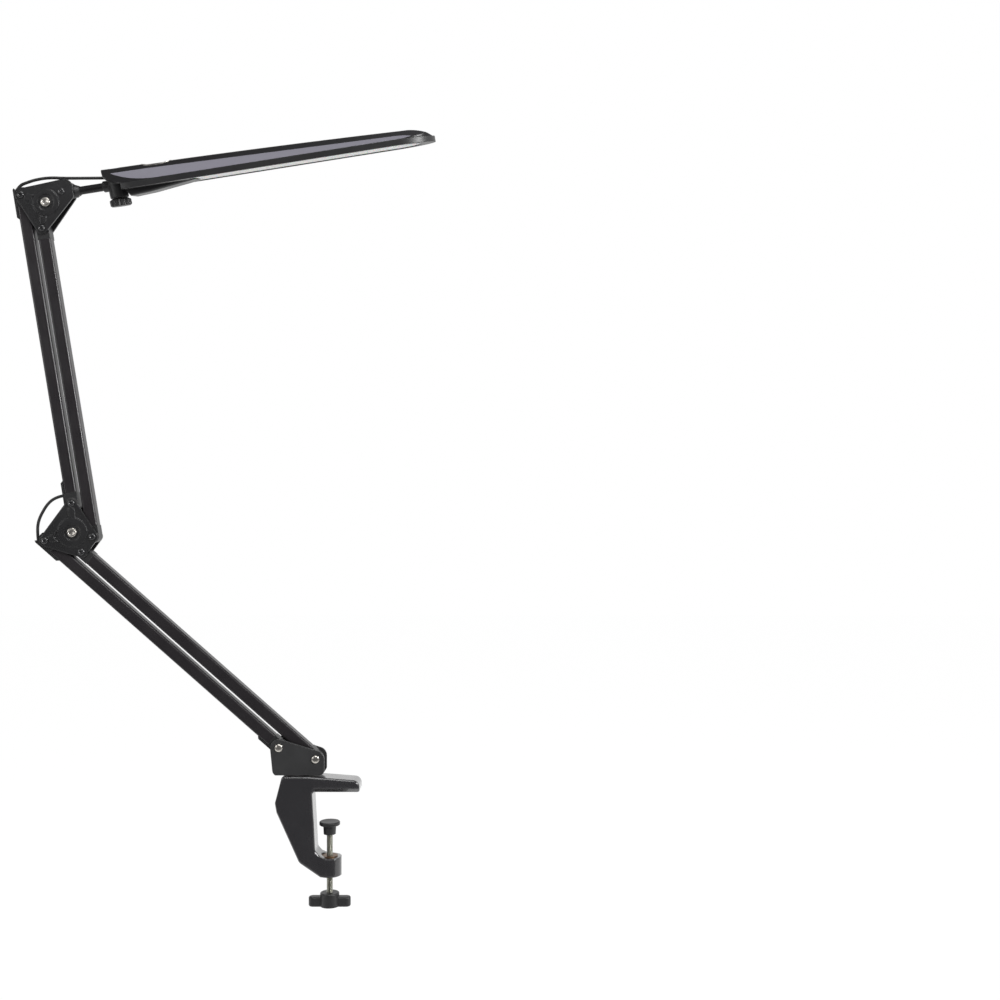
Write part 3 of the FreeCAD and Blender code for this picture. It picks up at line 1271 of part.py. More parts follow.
solid_feature("head_shell", head_shell())
inlays()
touch_parts()
rim_frame()
diffuser()
heat_spreader()
light_board()
head_bracket_strap()
driver_board()
belly_cover()
cord_gland()

joined_tubes(ELBOW_CORD_HIGH, ELBOW_CORD_LOW)
joined_tubes(HEAD_CORD_LOW, HEAD_CORD_MIDDLE)
joined_tubes(HEAD_CORD_MIDDLE, HEAD_CORD_HIGH)
tube("elbow_cord_high", ELBOW_CORD_HIGH)
tube("elbow_cord_low", ELBOW_CORD_LOW)
tube("head_cord_low", HEAD_CORD_LOW)
tube("head_cord_middle", HEAD_CORD_MIDDLE)
tube("head_cord_high", HEAD_CORD_HIGH)

doc.recompute()
faults = [f"{thing.Name}: {thing.State}" for thing in doc.Objects
          if any(state in ("Invalid", "Error") for state in thing.State)]
faults += [f"{thing.Label}: shape" for thing in subparts
           if thing.Shape.isNull() or not thing.Shape.isValid() or not thing.Shape.Solids]
if faults:
    raise ValueError("; ".join(faults))
os.makedirs("parts", exist_ok=True)
for thing in subparts:
    thing.Shape.exportStep(f"parts/{thing.Label}.step")
print(len(subparts), "sub-parts")
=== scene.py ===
import math

import bmesh
import bpy
from mathutils import Matrix, Vector


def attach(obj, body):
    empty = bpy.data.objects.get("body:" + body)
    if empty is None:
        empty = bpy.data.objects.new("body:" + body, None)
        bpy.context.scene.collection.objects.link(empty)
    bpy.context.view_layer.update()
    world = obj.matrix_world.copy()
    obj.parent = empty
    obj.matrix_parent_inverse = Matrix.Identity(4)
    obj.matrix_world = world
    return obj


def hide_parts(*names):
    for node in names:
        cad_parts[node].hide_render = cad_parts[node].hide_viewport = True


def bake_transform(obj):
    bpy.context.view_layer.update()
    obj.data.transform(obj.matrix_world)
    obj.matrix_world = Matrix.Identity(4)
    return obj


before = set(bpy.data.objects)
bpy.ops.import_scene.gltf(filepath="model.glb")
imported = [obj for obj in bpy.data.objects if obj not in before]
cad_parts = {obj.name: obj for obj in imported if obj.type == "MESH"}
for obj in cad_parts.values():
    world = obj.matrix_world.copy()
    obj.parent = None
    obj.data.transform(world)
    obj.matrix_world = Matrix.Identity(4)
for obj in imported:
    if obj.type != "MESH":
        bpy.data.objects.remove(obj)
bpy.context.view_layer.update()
scene = bpy.context.scene
print("lamp: frame loaded")

# camera: level, straight on, at the height of the arm's middle
cameraSetup = {"place": (0.2230, -1.6110, 0.3800), "lens": 44.28, "sensor": 36.0, "near": 0.05, "far": 60}
camData = bpy.data.cameras.new("cameraFront")
camData.lens = cameraSetup["lens"]
camData.sensor_width = cameraSetup["sensor"]
camData.clip_start = cameraSetup["near"]
camData.clip_end = cameraSetup["far"]
camera = bpy.data.objects.new("cameraFront", camData)
camera.location = cameraSetup["place"]
camera.rotation_euler = (math.radians(90), 0, 0)
scene.collection.objects.link(camera)
scene.camera = camera
scene.view_settings.view_transform = "Standard"


# small helpers for node trees; a colour Mix has its colours at inputs 6 and 7, its result at output 2
def addNode(tree, kind, place=(0, 0), **values):
    node = tree.nodes.new(kind)
    node.location = place
    for name, value in values.items():
        setattr(node, name, value)
    return node


def fill(node, **values):
    for name, value in values.items():
        node.inputs[name.replace("_", " ")].default_value = value
    return node


def makeGroup(name, inputs, outputs):
    group = bpy.data.node_groups.new(name, "ShaderNodeTree")
    for label, kind, value in inputs:
        socket = group.interface.new_socket(label, in_out="INPUT", socket_type=kind)
        socket.default_value = value
    for label, kind in outputs:
        group.interface.new_socket(label, in_out="OUTPUT", socket_type=kind)
    start = addNode(group, "NodeGroupInput", (-900, 0))
    end = addNode(group, "NodeGroupOutput", (700, 0))
    return group, start, end


def link(tree, a, b):
    tree.links.new(a, b)


def coatGrain():
    # orange peel of a powder coat with a fine speckle over it
    group, start, end = makeGroup(
        "coatGrain",
        [("Peel Size", "NodeSocketFloat", 900.0), ("Speckle Size", "NodeSocketFloat", 2600.0),
         ("Speckle Share", "NodeSocketFloat", 0.35), ("Low", "NodeSocketFloat", 0.36),
         ("High", "NodeSocketFloat", 0.5)],
        [("Height", "NodeSocketFloat"), ("Roughness", "NodeSocketFloat"), ("Patch", "NodeSocketFloat")])
    coords = addNode(group, "ShaderNodeTexCoord", (-900, 300))
    peel = addNode(group, "ShaderNodeTexNoise", (-600, 300))
    fill(peel, Detail=2.0, Roughness=0.45)
    speckle = addNode(group, "ShaderNodeTexNoise", (-600, 0))
    fill(speckle, Detail=1.0, Roughness=0.5)
    patch = addNode(group, "ShaderNodeTexNoise", (-600, -300))
    fill(patch, Scale=26.0, Detail=4.0, Roughness=0.6)
    link(group, coords.outputs["Object"], peel.inputs["Vector"])
    link(group, coords.outputs["Object"], speckle.inputs["Vector"])
    link(group, coords.outputs["Object"], patch.inputs["Vector"])
    link(group, start.outputs["Peel Size"], peel.inputs["Scale"])
    link(group, start.outputs["Speckle Size"], speckle.inputs["Scale"])
    mix = addNode(group, "ShaderNodeMix", (-300, 200), data_type="FLOAT")
    link(group, start.outputs["Speckle Share"], mix.inputs[0])
    link(group, peel.outputs["Fac"], mix.inputs[2])
    link(group, speckle.outputs["Fac"], mix.inputs[3])
    rough = addNode(group, "ShaderNodeMapRange", (-50, -100))
    link(group, patch.outputs["Fac"], rough.inputs["Value"])
    link(group, start.outputs["Low"], rough.inputs["To Min"])
    link(group, start.outputs["High"], rough.inputs["To Max"])
    fill(rough, From_Min=0.3, From_Max=0.7)
    link(group, mix.outputs[0], end.inputs["Height"])
    link(group, rough.outputs["Result"], end.inputs["Roughness"])
    link(group, patch.outputs["Fac"], end.inputs["Patch"])
    return group


def brushedLines():
    # long fine lines along X of the piece's own coordinates
    group, start, end = makeGroup(
        "brushedLines",
        [("Stretch", "NodeSocketVector", (2.0, 400.0, 400.0)), ("Low", "NodeSocketFloat", 0.25),
         ("High", "NodeSocketFloat", 0.4)],
        [("Height", "NodeSocketFloat"), ("Roughness", "NodeSocketFloat"), ("Patch", "NodeSocketFloat")])
    coords = addNode(group, "ShaderNodeTexCoord", (-900, 300))
    spread = addNode(group, "ShaderNodeVectorMath", (-500, 300), operation="MULTIPLY")
    lines = addNode(group, "ShaderNodeTexNoise", (-300, 300))
    fill(lines, Scale=5.0, Detail=3.0, Roughness=0.65)
    link(group, coords.outputs["Object"], spread.inputs[0])
    link(group, start.outputs["Stretch"], spread.inputs[1])
    link(group, spread.outputs["Vector"], lines.inputs["Vector"])
    rough = addNode(group, "ShaderNodeMapRange", (0, 0))
    fill(rough, From_Min=0.3, From_Max=0.7)
    link(group, lines.outputs["Fac"], rough.inputs["Value"])
    link(group, start.outputs["Low"], rough.inputs["To Min"])
    link(group, start.outputs["High"], rough.inputs["To Max"])
    link(group, lines.outputs["Fac"], end.inputs["Height"])
    link(group, rough.outputs["Result"], end.inputs["Roughness"])
    link(group, lines.outputs["Fac"], end.inputs["Patch"])
    return group


def faintDust():
    # pale film that gathers on faces that look up
    group, start, end = makeGroup(
        "faintDust",
        [("Colour", "NodeSocketColor", (0.02, 0.02, 0.02, 1)),
         ("Dust", "NodeSocketColor", (0.25, 0.24, 0.23, 1)), ("Amount", "NodeSocketFloat", 0.06)],
        [("Colour", "NodeSocketColor")])
    geometry = addNode(group, "ShaderNodeNewGeometry", (-900, 300))
    split = addNode(group, "ShaderNodeSeparateXYZ", (-700, 300))
    upward = addNode(group, "ShaderNodeMapRange", (-500, 300))
    fill(upward, From_Min=0.2, From_Max=1.0)
    coords = addNode(group, "ShaderNodeTexCoord", (-900, -100))
    motes = addNode(group, "ShaderNodeTexNoise", (-700, -100))
    fill(motes, Scale=220.0, Detail=6.0, Roughness=0.75)
    where = addNode(group, "ShaderNodeMapRange", (-500, -100))
    fill(where, From_Min=0.45, From_Max=0.75)
    both = addNode(group, "ShaderNodeMath", (-300, 100), operation="MULTIPLY")
    much = addNode(group, "ShaderNodeMath", (-100, 100), operation="MULTIPLY")
    mix = addNode(group, "ShaderNodeMix", (200, 0), data_type="RGBA")
    link(group, geometry.outputs["Normal"], split.inputs["Vector"])
    link(group, split.outputs["Z"], upward.inputs["Value"])
    link(group, coords.outputs["Object"], motes.inputs["Vector"])
    link(group, motes.outputs["Fac"], where.inputs["Value"])
    link(group, upward.outputs["Result"], both.inputs[0])
    link(group, where.outputs["Result"], both.inputs[1])
    link(group, both.outputs["Value"], much.inputs[0])
    link(group, start.outputs["Amount"], much.inputs[1])
    link(group, much.outputs["Value"], mix.inputs[0])
    link(group, start.outputs["Colour"], mix.inputs[6])
    link(group, start.outputs["Dust"], mix.inputs[7])
    link(group, mix.outputs[2], end.inputs["Colour"])
    return group


def softEdges():
    # rounded arris on every edge, and a patchy mask of where the finish is rubbed thin on it
    group, start, end = makeGroup(
        "softEdges", [("Radius", "NodeSocketFloat", 0.001)],
        [("Normal", "NodeSocketVector"), ("Worn", "NodeSocketFloat")])
    rounded = addNode(group, "ShaderNodeBevel", (-600, 100), samples=6)
    geometry = addNode(group, "ShaderNodeNewGeometry", (-600, -100))
    turn = addNode(group, "ShaderNodeVectorMath", (-400, 0), operation="DOT_PRODUCT")
    edge = addNode(group, "ShaderNodeMapRange", (-200, 0))
    fill(edge, From_Min=0.985, From_Max=0.8)
    coords = addNode(group, "ShaderNodeTexCoord", (-600, -400))
    patches = addNode(group, "ShaderNodeTexNoise", (-400, -400))
    fill(patches, Scale=160.0, Detail=5.0, Roughness=0.7)
    rubbed = addNode(group, "ShaderNodeMapRange", (-200, -400))
    fill(rubbed, From_Min=0.42, From_Max=0.66)
    both = addNode(group, "ShaderNodeMath", (100, -200), operation="MULTIPLY")
    link(group, start.outputs["Radius"], rounded.inputs["Radius"])
    link(group, rounded.outputs["Normal"], turn.inputs[0])
    link(group, geometry.outputs["Normal"], turn.inputs[1])
    link(group, turn.outputs["Value"], edge.inputs["Value"])
    link(group, coords.outputs["Object"], patches.inputs["Vector"])
    link(group, patches.outputs["Fac"], rubbed.inputs["Value"])
    link(group, edge.outputs["Result"], both.inputs[0])
    link(group, rubbed.outputs["Result"], both.inputs[1])
    link(group, rounded.outputs["Normal"], end.inputs["Normal"])
    link(group, both.outputs["Value"], end.inputs["Worn"])
    return group


coat = coatGrain()
lines = brushedLines()
dust = faintDust()
edges = softEdges()


usual = {"rub": 0.35, "dust": 0.03, "underTimes": 3}  # for looks that say nothing else


def finish(name, look):
    # one material: a principled shader fed by a grain group, two tones, rubbed edges and a little dust
    material = bpy.data.materials.new(name)
    material.use_nodes = True
    tree = material.node_tree
    tree.nodes.clear()
    shader = addNode(tree, "ShaderNodeBsdfPrincipled", (500, 0))
    output = addNode(tree, "ShaderNodeOutputMaterial", (800, 0))
    link(tree, shader.outputs["BSDF"], output.inputs["Surface"])
    grain = addNode(tree, "ShaderNodeGroup", (-500, 0), node_tree=look["grain"])
    for label, value in look.get("grainValues", {}).items():
        grain.inputs[label].default_value = value
    tones = addNode(tree, "ShaderNodeMix", (-200, 250), data_type="RGBA")
    tones.inputs[6].default_value = (*look["dark"], 1)
    tones.inputs[7].default_value = (*look["light"], 1)
    link(tree, grain.outputs["Patch"], tones.inputs[0])
    arris = addNode(tree, "ShaderNodeGroup", (-500, -300), node_tree=edges)
    arris.inputs["Radius"].default_value = look["arris"]
    rub = addNode(tree, "ShaderNodeMath", (-200, 0), operation="MULTIPLY")
    rub.inputs[1].default_value = look.get("rub", usual["rub"])
    worn = addNode(tree, "ShaderNodeMix", (-50, 250), data_type="RGBA")
    bare = look.get("under", [usual["underTimes"] * c for c in look["light"]])
    worn.inputs[7].default_value = (*bare, 1)
    link(tree, arris.outputs["Worn"], rub.inputs[0])
    link(tree, rub.outputs["Value"], worn.inputs[0])
    link(tree, tones.outputs[2], worn.inputs[6])
    film = addNode(tree, "ShaderNodeGroup", (100, 250), node_tree=dust)
    film.inputs["Amount"].default_value = look.get("dust", usual["dust"])
    link(tree, worn.outputs[2], film.inputs["Colour"])
    link(tree, film.outputs["Colour"], shader.inputs["Base Color"])
    link(tree, grain.outputs["Roughness"], shader.inputs["Roughness"])
    bump = addNode(tree, "ShaderNodeBump", (200, -250))
    fill(bump, Strength=look["bump"], Distance=look["depth"])
    link(tree, grain.outputs["Height"], bump.inputs["Height"])
    link(tree, arris.outputs["Normal"], bump.inputs["Normal"])
    link(tree, bump.outputs["Normal"], shader.inputs["Normal"])
    for label, value in look.get("shader", {}).items():
        shader.inputs[label].default_value = value
    return material


looks = {
    "barCoat": {"grain": coat, "dark": (0.011, 0.0095, 0.011), "light": (0.017, 0.0148, 0.0163),
                "grainValues": {"Low": 0.26, "High": 0.36}, "bump": 0.2, "depth": 0.00006, "arris": 0.0012},
    "plateCoat": {"grain": coat, "dark": (0.009, 0.009, 0.0095), "light": (0.014, 0.0138, 0.0145),
                  "grainValues": {"Low": 0.24, "High": 0.36}, "bump": 0.25, "depth": 0.00007,
                  "arris": 0.0024, "shader": {"Coat Weight": 0.6, "Coat Roughness": 0.16}},
    "yokeCoat": {"grain": coat, "dark": (0.016, 0.016, 0.0165), "light": (0.028, 0.028, 0.029),
                 "grainValues": {"Peel Size": 700.0, "Speckle Share": 0.5, "Low": 0.36, "High": 0.5},
                 "bump": 0.45, "depth": 0.00012, "arris": 0.0012},
    "clampCoat": {"grain": coat, "dark": (0.015, 0.0145, 0.016), "light": (0.022, 0.021, 0.023),
                  "grainValues": {"Peel Size": 420.0, "Speckle Share": 0.15, "Low": 0.2, "High": 0.3},
                  "bump": 0.08, "depth": 0.00008, "arris": 0.0045,
                  "shader": {"Coat Weight": 1.0, "Coat Roughness": 0.1}},
    "mouldedBlack": {"grain": coat, "dark": (0.012, 0.012, 0.0125), "light": (0.019, 0.019, 0.0195),
                     "grainValues": {"Peel Size": 1500.0, "Low": 0.34, "High": 0.46}, "bump": 0.3,
                     "depth": 0.0001, "arris": 0.0009},
    "headPaint": {"grain": coat, "dark": (0.007, 0.0068, 0.0074), "light": (0.011, 0.0106, 0.0114),
                  "grainValues": {"Low": 0.26, "High": 0.34}, "bump": 0.1, "depth": 0.00004,
                  "arris": 0.0012, "shader": {"Specular IOR Level": 0.3}},
    # pale lavender-grey satin for the head's side strip: its grey is a painted reflection of a softbox along
    # the glossy black head
    "paintedReflectionSatin": {"grain": lines, "dark": (0.24, 0.232, 0.275), "light": (0.305, 0.296, 0.345),
                   "grainValues": {"Low": 0.4, "High": 0.52}, "bump": 0.12, "depth": 0.00004,
                   "arris": 0.0006, "shader": {"Metallic": 0.45}, "dust": 0.01, "rub": 0.2},
    "zincSteel": {"grain": coat, "dark": (0.50, 0.48, 0.44), "light": (0.66, 0.63, 0.58),
                  "grainValues": {"Low": 0.24, "High": 0.38}, "bump": 0.12, "depth": 0.00005,
                  "arris": 0.0004, "rub": 0.2, "under": (0.7, 0.68, 0.64), "shader": {"Metallic": 1.0}},
    "screwSteel": {"grain": coat, "dark": (0.30, 0.30, 0.25), "light": (0.48, 0.48, 0.42),
                   "grainValues": {"Low": 0.22, "High": 0.36}, "bump": 0.2, "depth": 0.00005,
                   "arris": 0.0002, "rub": 0.5, "under": (0.6, 0.6, 0.55), "shader": {"Metallic": 1.0}},
    "blackSteel": {"grain": coat, "dark": (0.012, 0.012, 0.013), "light": (0.022, 0.022, 0.023),
                   "grainValues": {"Low": 0.16, "High": 0.28}, "bump": 0.12, "depth": 0.00004,
                   "arris": 0.0004, "rub": 0.5, "under": (0.12, 0.12, 0.12),
                   "shader": {"Coat Weight": 0.6, "Coat Roughness": 0.15}},
    "bronze": {"grain": coat, "dark": (0.13, 0.075, 0.04), "light": (0.22, 0.13, 0.075),
               "grainValues": {"Low": 0.3, "High": 0.45}, "bump": 0.15, "depth": 0.00006,
               "arris": 0.0004, "rub": 0.3, "under": (0.4, 0.27, 0.17), "shader": {"Metallic": 0.9}},
    "slipWasher": {"grain": coat, "dark": (0.035, 0.034, 0.034), "light": (0.055, 0.054, 0.053),
                   "grainValues": {"Low": 0.4, "High": 0.5}, "bump": 0.1, "depth": 0.00004, "arris": 0.0003},
    "keyGloss": {"grain": coat, "dark": (0.010, 0.010, 0.011), "light": (0.014, 0.014, 0.015),
                 "grainValues": {"Low": 0.06, "High": 0.12}, "bump": 0.04, "depth": 0.00003,
                 "arris": 0.0008, "rub": 0.1},
    "opal": {"grain": coat, "dark": (0.76, 0.76, 0.745), "light": (0.82, 0.82, 0.81),
             "grainValues": {"Peel Size": 1800.0, "Low": 0.36, "High": 0.46}, "bump": 0.1,
             "depth": 0.00005, "dust": 0.0, "rub": 0.0, "arris": 0.0006,
             "shader": {"Subsurface Weight": 0.2, "Subsurface Scale": 0.002}},
    "millAluminium": {"grain": lines, "dark": (0.5, 0.5, 0.51), "light": (0.66, 0.66, 0.67),
                      "grainValues": {"Low": 0.28, "High": 0.4}, "bump": 0.2, "depth": 0.00005,
                      "arris": 0.0003, "rub": 0.2, "under": (0.75, 0.75, 0.75), "shader": {"Metallic": 1.0}},
    "boardWhite": {"grain": coat, "dark": (0.68, 0.68, 0.66), "light": (0.76, 0.76, 0.74),
                   "grainValues": {"Low": 0.3, "High": 0.4}, "bump": 0.1, "depth": 0.00004, "dust": 0.0,
                   "arris": 0.0002, "rub": 0.0},
    "phosphor": {"grain": coat, "dark": (0.62, 0.44, 0.08), "light": (0.74, 0.55, 0.12),
                 "grainValues": {"Low": 0.18, "High": 0.26}, "bump": 0.1, "depth": 0.00003, "dust": 0.0,
                 "arris": 0.0002, "rub": 0.0},
    "boardGreen": {"grain": coat, "dark": (0.01, 0.07, 0.03), "light": (0.02, 0.11, 0.05),
                   "grainValues": {"Low": 0.25, "High": 0.36}, "bump": 0.2, "depth": 0.00008,
                   "arris": 0.0002},
    "cordRubber": {"grain": coat, "dark": (0.013, 0.013, 0.013), "light": (0.021, 0.0205, 0.0205),
                   "grainValues": {"Peel Size": 1800.0, "Low": 0.38, "High": 0.5}, "bump": 0.25,
                   "depth": 0.00008, "arris": 0.0004, "rub": 0.1},
}
materials = {name: finish(name, look) for name, look in looks.items()}
print("lamp: materials made")

nodeFinish = {
    "barCoat": ["lower_outer_bar_tube", "lower_inner_bar_tube", "upper_outer_bar_tube",
                "upper_inner_bar_tube"],
    "plateCoat": ["elbow_front_plate", "elbow_back_plate", "head_front_plate", "head_back_plate",
                  "head_strap"],
    "yokeCoat": ["base_yoke"],
    "clampCoat": ["clamp_frame"],
    "mouldedBlack": ["lower_outer_bar_ends", "lower_inner_bar_ends", "upper_outer_bar_ends",
                     "upper_inner_bar_ends", "screw_handle", "pressure_pad", "stem_socket", "knuckle",
                     "pan_knob", "belly_cover", "cord_gland", "base_spacers", "rim_frame", "pivot_cap",
                     "swivel_bush"],
    "headPaint": ["head_shell", "head_stem"],
    # the side inlays carry the painted reflection strip along the head
    "paintedReflectionSatin": ["side_inlays"],
    "zincSteel": ["elbow_bolt", "elbow_nut", "head_bolt", "head_nut", "base_pivot_pins", "touch_ring",
                  "swivel_post", "elbow_spacer", "stem_grub_screw", "pan_washer", "pan_stud", "pan_nut"],
    "screwSteel": ["clamp_screw"],
    "blackSteel": ["elbow_rivets", "head_rivets"],
    "bronze": ["clamp_thread_bush"],
    "slipWasher": ["elbow_friction_washers", "head_friction_washers"],
    "keyGloss": ["touch_key"],
    "opal": ["diffuser"],
    "millAluminium": ["heat_spreader"],
    "boardWhite": ["light_board"],
    "phosphor": ["light_chips"],
    "boardGreen": ["driver_board"],
    "cordRubber": ["lower_outer_bar_cord", "upper_outer_bar_cord"],
}
for materialName, nodeNames in nodeFinish.items():
    for nodeName in nodeNames:
        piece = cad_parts[nodeName]
        piece.data.materials.clear()
        piece.data.materials.append(materials[materialName])
print("lamp: frame nodes painted")

# turned pieces: profiles are (radius, height) in millimetres, the height towards the viewer
unit = 0.001
weld = 1e-6  # vertices nearer than this, in metres, are one


def solidBoxes(node):
    # lowest and highest corner of each solid in a node, from its mesh's loose parts
    builder = bmesh.new()
    builder.from_mesh(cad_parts[node].data)
    bmesh.ops.remove_doubles(builder, verts=builder.verts, dist=weld)
    left, boxes = set(builder.verts), []
    while left:
        island, rim = set(), [left.pop()]
        while rim:
            vertex = rim.pop()
            island.add(vertex)
            near = {edge.other_vert(vertex) for edge in vertex.link_edges} & left
            left -= near
            rim.extend(near)
        boxes.append([[pick(v.co[k] for v in island) for k in range(3)] for pick in (min, max)])
    builder.free()
    return sorted(boxes)


def arcPoints(radius, height, base, steps=8):
    # quarter of an ellipse from the axis down to the rim
    turns = [math.pi / 2 * (1 - k / steps) for k in range(steps + 1)]
    return [(radius * math.cos(a), base + height * math.sin(a)) for a in turns]


def addTurned(builder, profile, place, upright=False, sides=40):
    # one closed turned solid in the mesh, laid along Y or left upright at its place
    before = set(builder.verts)
    outline = [builder.verts.new((radius * unit, 0, height * unit)) for radius, height in profile]
    strip = [builder.edges.new(pair) for pair in zip(outline, outline[1:])]
    bmesh.ops.spin(builder, geom=outline + strip, cent=(0, 0, 0), axis=(0, 0, 1), angle=math.tau,
                   steps=sides, use_merge=True)
    whole = [v for v in builder.verts if v not in before]
    lay = Matrix.Identity(3) if upright else Matrix.Rotation(math.radians(90), 3, "X")
    bmesh.ops.rotate(builder, verts=whole, cent=(0, 0, 0), matrix=lay)
    bmesh.ops.translate(builder, verts=whole, vec=place)


def addPiece(name, builder, body, material, nodes, angle=35):
    # a mesh from a builder, its normals set, riding on a body and standing for CAD nodes
    bmesh.ops.remove_doubles(builder, verts=builder.verts, dist=weld)
    bmesh.ops.recalc_face_normals(builder, faces=builder.faces)
    mesh = bpy.data.meshes.new(name)
    builder.to_mesh(mesh)
    builder.free()
    mesh.polygons.foreach_set("use_smooth", [True] * len(mesh.polygons))
    mesh.set_sharp_from_angle(angle=math.radians(angle))
    mesh.materials.append(materials[material])
    piece = bpy.data.objects.new(name, mesh)
    scene.collection.objects.link(piece)
    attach(piece, body)
    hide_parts(*nodes)


def addSet(name, profile, node, body, material):
    # a turned solid in place of each solid of a CAD node, centred on the arm's middle plane
    builder = bmesh.new()
    for low, high in solidBoxes(node):
        addTurned(builder, profile, ((low[0] + high[0]) / 2, 0, (low[2] + high[2]) / 2))
    addPiece(name, builder, body, material, [node])


# tubular rivets of the two brackets: a rolled head round a hollow end, set on the plate's outer face
rivet = {"face": 10.5, "shank": 3.0, "head": 4.6, "hollow": 1.7}
rivetProfile = [
    (0, 11.1), (1.5, 11.1), (rivet["hollow"], 11.4), (1.9, 12.3), (2.3, 12.65), (2.8, 12.7),
    (3.6, 12.45), (4.2, 11.95), (rivet["head"], 11.2), (rivet["head"], rivet["face"]),
    (rivet["shank"], rivet["face"]), (rivet["shank"], -rivet["face"]),
    (rivet["head"] - 0.1, -rivet["face"]), (rivet["head"], -10.9), (4.2, -11.7), (3.4, -12.1),
    (2.4, -12.0), (2.0, -11.6), (rivet["hollow"], -10.9), (0, -10.9)]
addSet("tubularElbowRivets", rivetProfile, "elbow_rivets", "elbow", "blackSteel")
addSet("tubularHeadRivets", rivetProfile, "head_rivets", "head_bracket", "blackSteel")

# friction bolts: plated cap with a raised ring round a shallow recess, threaded end behind
bolt = {"face": 10.5, "head": 6.1, "shank": 3.0, "end": -16.5, "pitch": 0.9, "ridges": 5}
boltProfile = [
    (0, 13.1), (3.5, 13.15), (3.9, 13.35), (4.2, 13.8), (4.6, 13.9), (5.2, 13.85), (5.8, 13.5),
    (bolt["head"], 12.9), (bolt["head"], bolt["face"]), (bolt["shank"], bolt["face"]),
    (bolt["shank"], -12.0)]
for ridge in range(bolt["ridges"]):
    boltProfile += [(2.65, -12.2 - bolt["pitch"] * ridge), (bolt["shank"], -12.6 - bolt["pitch"] * ridge)]
boltProfile += [(2.4, bolt["end"]), (0, bolt["end"])]
addSet("cappedElbowBolt", boltProfile, "elbow_bolt", "elbow", "zincSteel")
addSet("cappedHeadBolt", boltProfile, "head_bolt", "head_bracket", "zincSteel")

# base pivot pins: smooth domes in front, riveted ends behind
pin = {"head": 5.2, "shank": 3.0, "face": 14.0, "dome": 2.2, "rim": 0.4, "end": 1.6, "endRim": 0.2}
pinProfile = arcPoints(pin["head"], pin["dome"] - pin["rim"], pin["face"] + pin["rim"]) + [
    (pin["head"], pin["face"]), (pin["shank"], pin["face"]), (pin["shank"], -pin["face"])]
pinEnd = arcPoints(pin["head"] - pin["endRim"], pin["end"] - pin["endRim"], pin["face"] + pin["endRim"])
pinProfile += [(radius, -height) for radius, height in reversed(pinEnd)]
addSet("domedBasePins", pinProfile, "base_pivot_pins", "base", "zincSteel")

# clamp screw: rod with its thread as one helix, and the ball inside the pad
screw = {"low": -148.5, "high": -51.5, "root": 3.42, "crest": 4.0, "pitch": 1.25, "facets": 22,
         "tip": 2.9, "chamfer": 0.6, "lead": 1.3, "runOut": 2.5}
thread = {"foot": 0.56, "flat": 0.12, "sunk": 0.05}  # half widths at root and crest, and how deep it is set
ball = {"radius": 5.6, "height": -50.4, "from": -52, "span": 142, "steps": 12}
ballTurns = [math.radians(ball["from"] + ball["span"] * k / ball["steps"]) for k in range(ball["steps"] + 1)]
ballEnd = [(ball["radius"] * math.cos(a), ball["height"] + ball["radius"] * math.sin(a)) for a in ballTurns]
builder = bmesh.new()
addTurned(builder, [(0, screw["low"]), (screw["tip"], screw["low"]),
                    (screw["root"], screw["low"] + screw["chamfer"]),
                    (screw["root"], ballEnd[0][1])] + ballEnd[:-1] + [(0, ballEnd[-1][1])],
          (0, 0, 0), upright=True, sides=32)
rise = screw["pitch"] / screw["facets"]
turns = int((screw["high"] - screw["low"] - screw["runOut"]) / screw["pitch"])
flank = [(screw["root"] - thread["sunk"], -thread["foot"]), (screw["crest"], -thread["flat"]),
         (screw["crest"], thread["flat"]), (screw["root"] - thread["sunk"], thread["foot"])]
corner = [builder.verts.new((radius * unit, 0, (screw["low"] + screw["lead"] + height) * unit))
          for radius, height in flank]
ridgeEnd = builder.faces.new(corner)
bmesh.ops.spin(builder, geom=[ridgeEnd], cent=(0, 0, 0), axis=(0, 0, 1), dvec=(0, 0, rise * unit),
               angle=math.tau * turns, steps=turns * screw["facets"])
addPiece("threadedClampScrew", builder, "screw", "screwSteel", ["clamp_screw"], angle=50)
print("lamp: turned pieces made")

# free cord, in metres: the same route as the tubes of the construction model
cordSetup = {"diameter": 0.004, "resolution": 24, "rounding": 4}
cordRoutes = {
    "elbowCordHigh": {
        "node": "elbow_cord_high", "bodies": ("elbow", "upper_outer"),
        "points": [(-0.34756, 0, 0.38578), (-0.35644, 0, 0.38432), (-0.36830, 0, 0.37680),
                   (-0.37295, 0, 0.36930)], "reverse": True},
    "elbowCordLow": {
        "node": "elbow_cord_low", "bodies": ("lower_outer", "elbow"),
        "points": [(-0.37295, 0, 0.36930), (-0.37760, 0, 0.36180), (-0.38220, 0, 0.35000),
                   (-0.38275, 0, 0.33691), (-0.38174, 0, 0.32746)], "reverse": True},
    "headCordLow": {
        "node": "head_cord_low", "bodies": ("upper_outer", "head_bracket"),
        "points": [(-0.40994, 0, 0.78530), (-0.40556, 0, 0.79199), (-0.39830, 0, 0.79500),
                   (-0.38550, 0, 0.79940), (-0.37625, 0, 0.80080)]},
    "headCordMiddle": {
        "node": "head_cord_middle", "bodies": ("head_bracket", "stem"),
        "points": [(-0.37625, 0, 0.80080), (-0.36700, 0, 0.80220), (-0.34700, 0, 0.80130),
                   (-0.33100, 0.0016, 0.80180)]},
    "headCordHigh": {
        "node": "head_cord_high", "bodies": ("stem", "head"),
        "points": [(-0.33100, 0.0016, 0.80180), (-0.31500, 0.0032, 0.80230),
                   (-0.28426, 0.00859, 0.80405), (-0.26648, 0.00859, 0.80686)]},
}


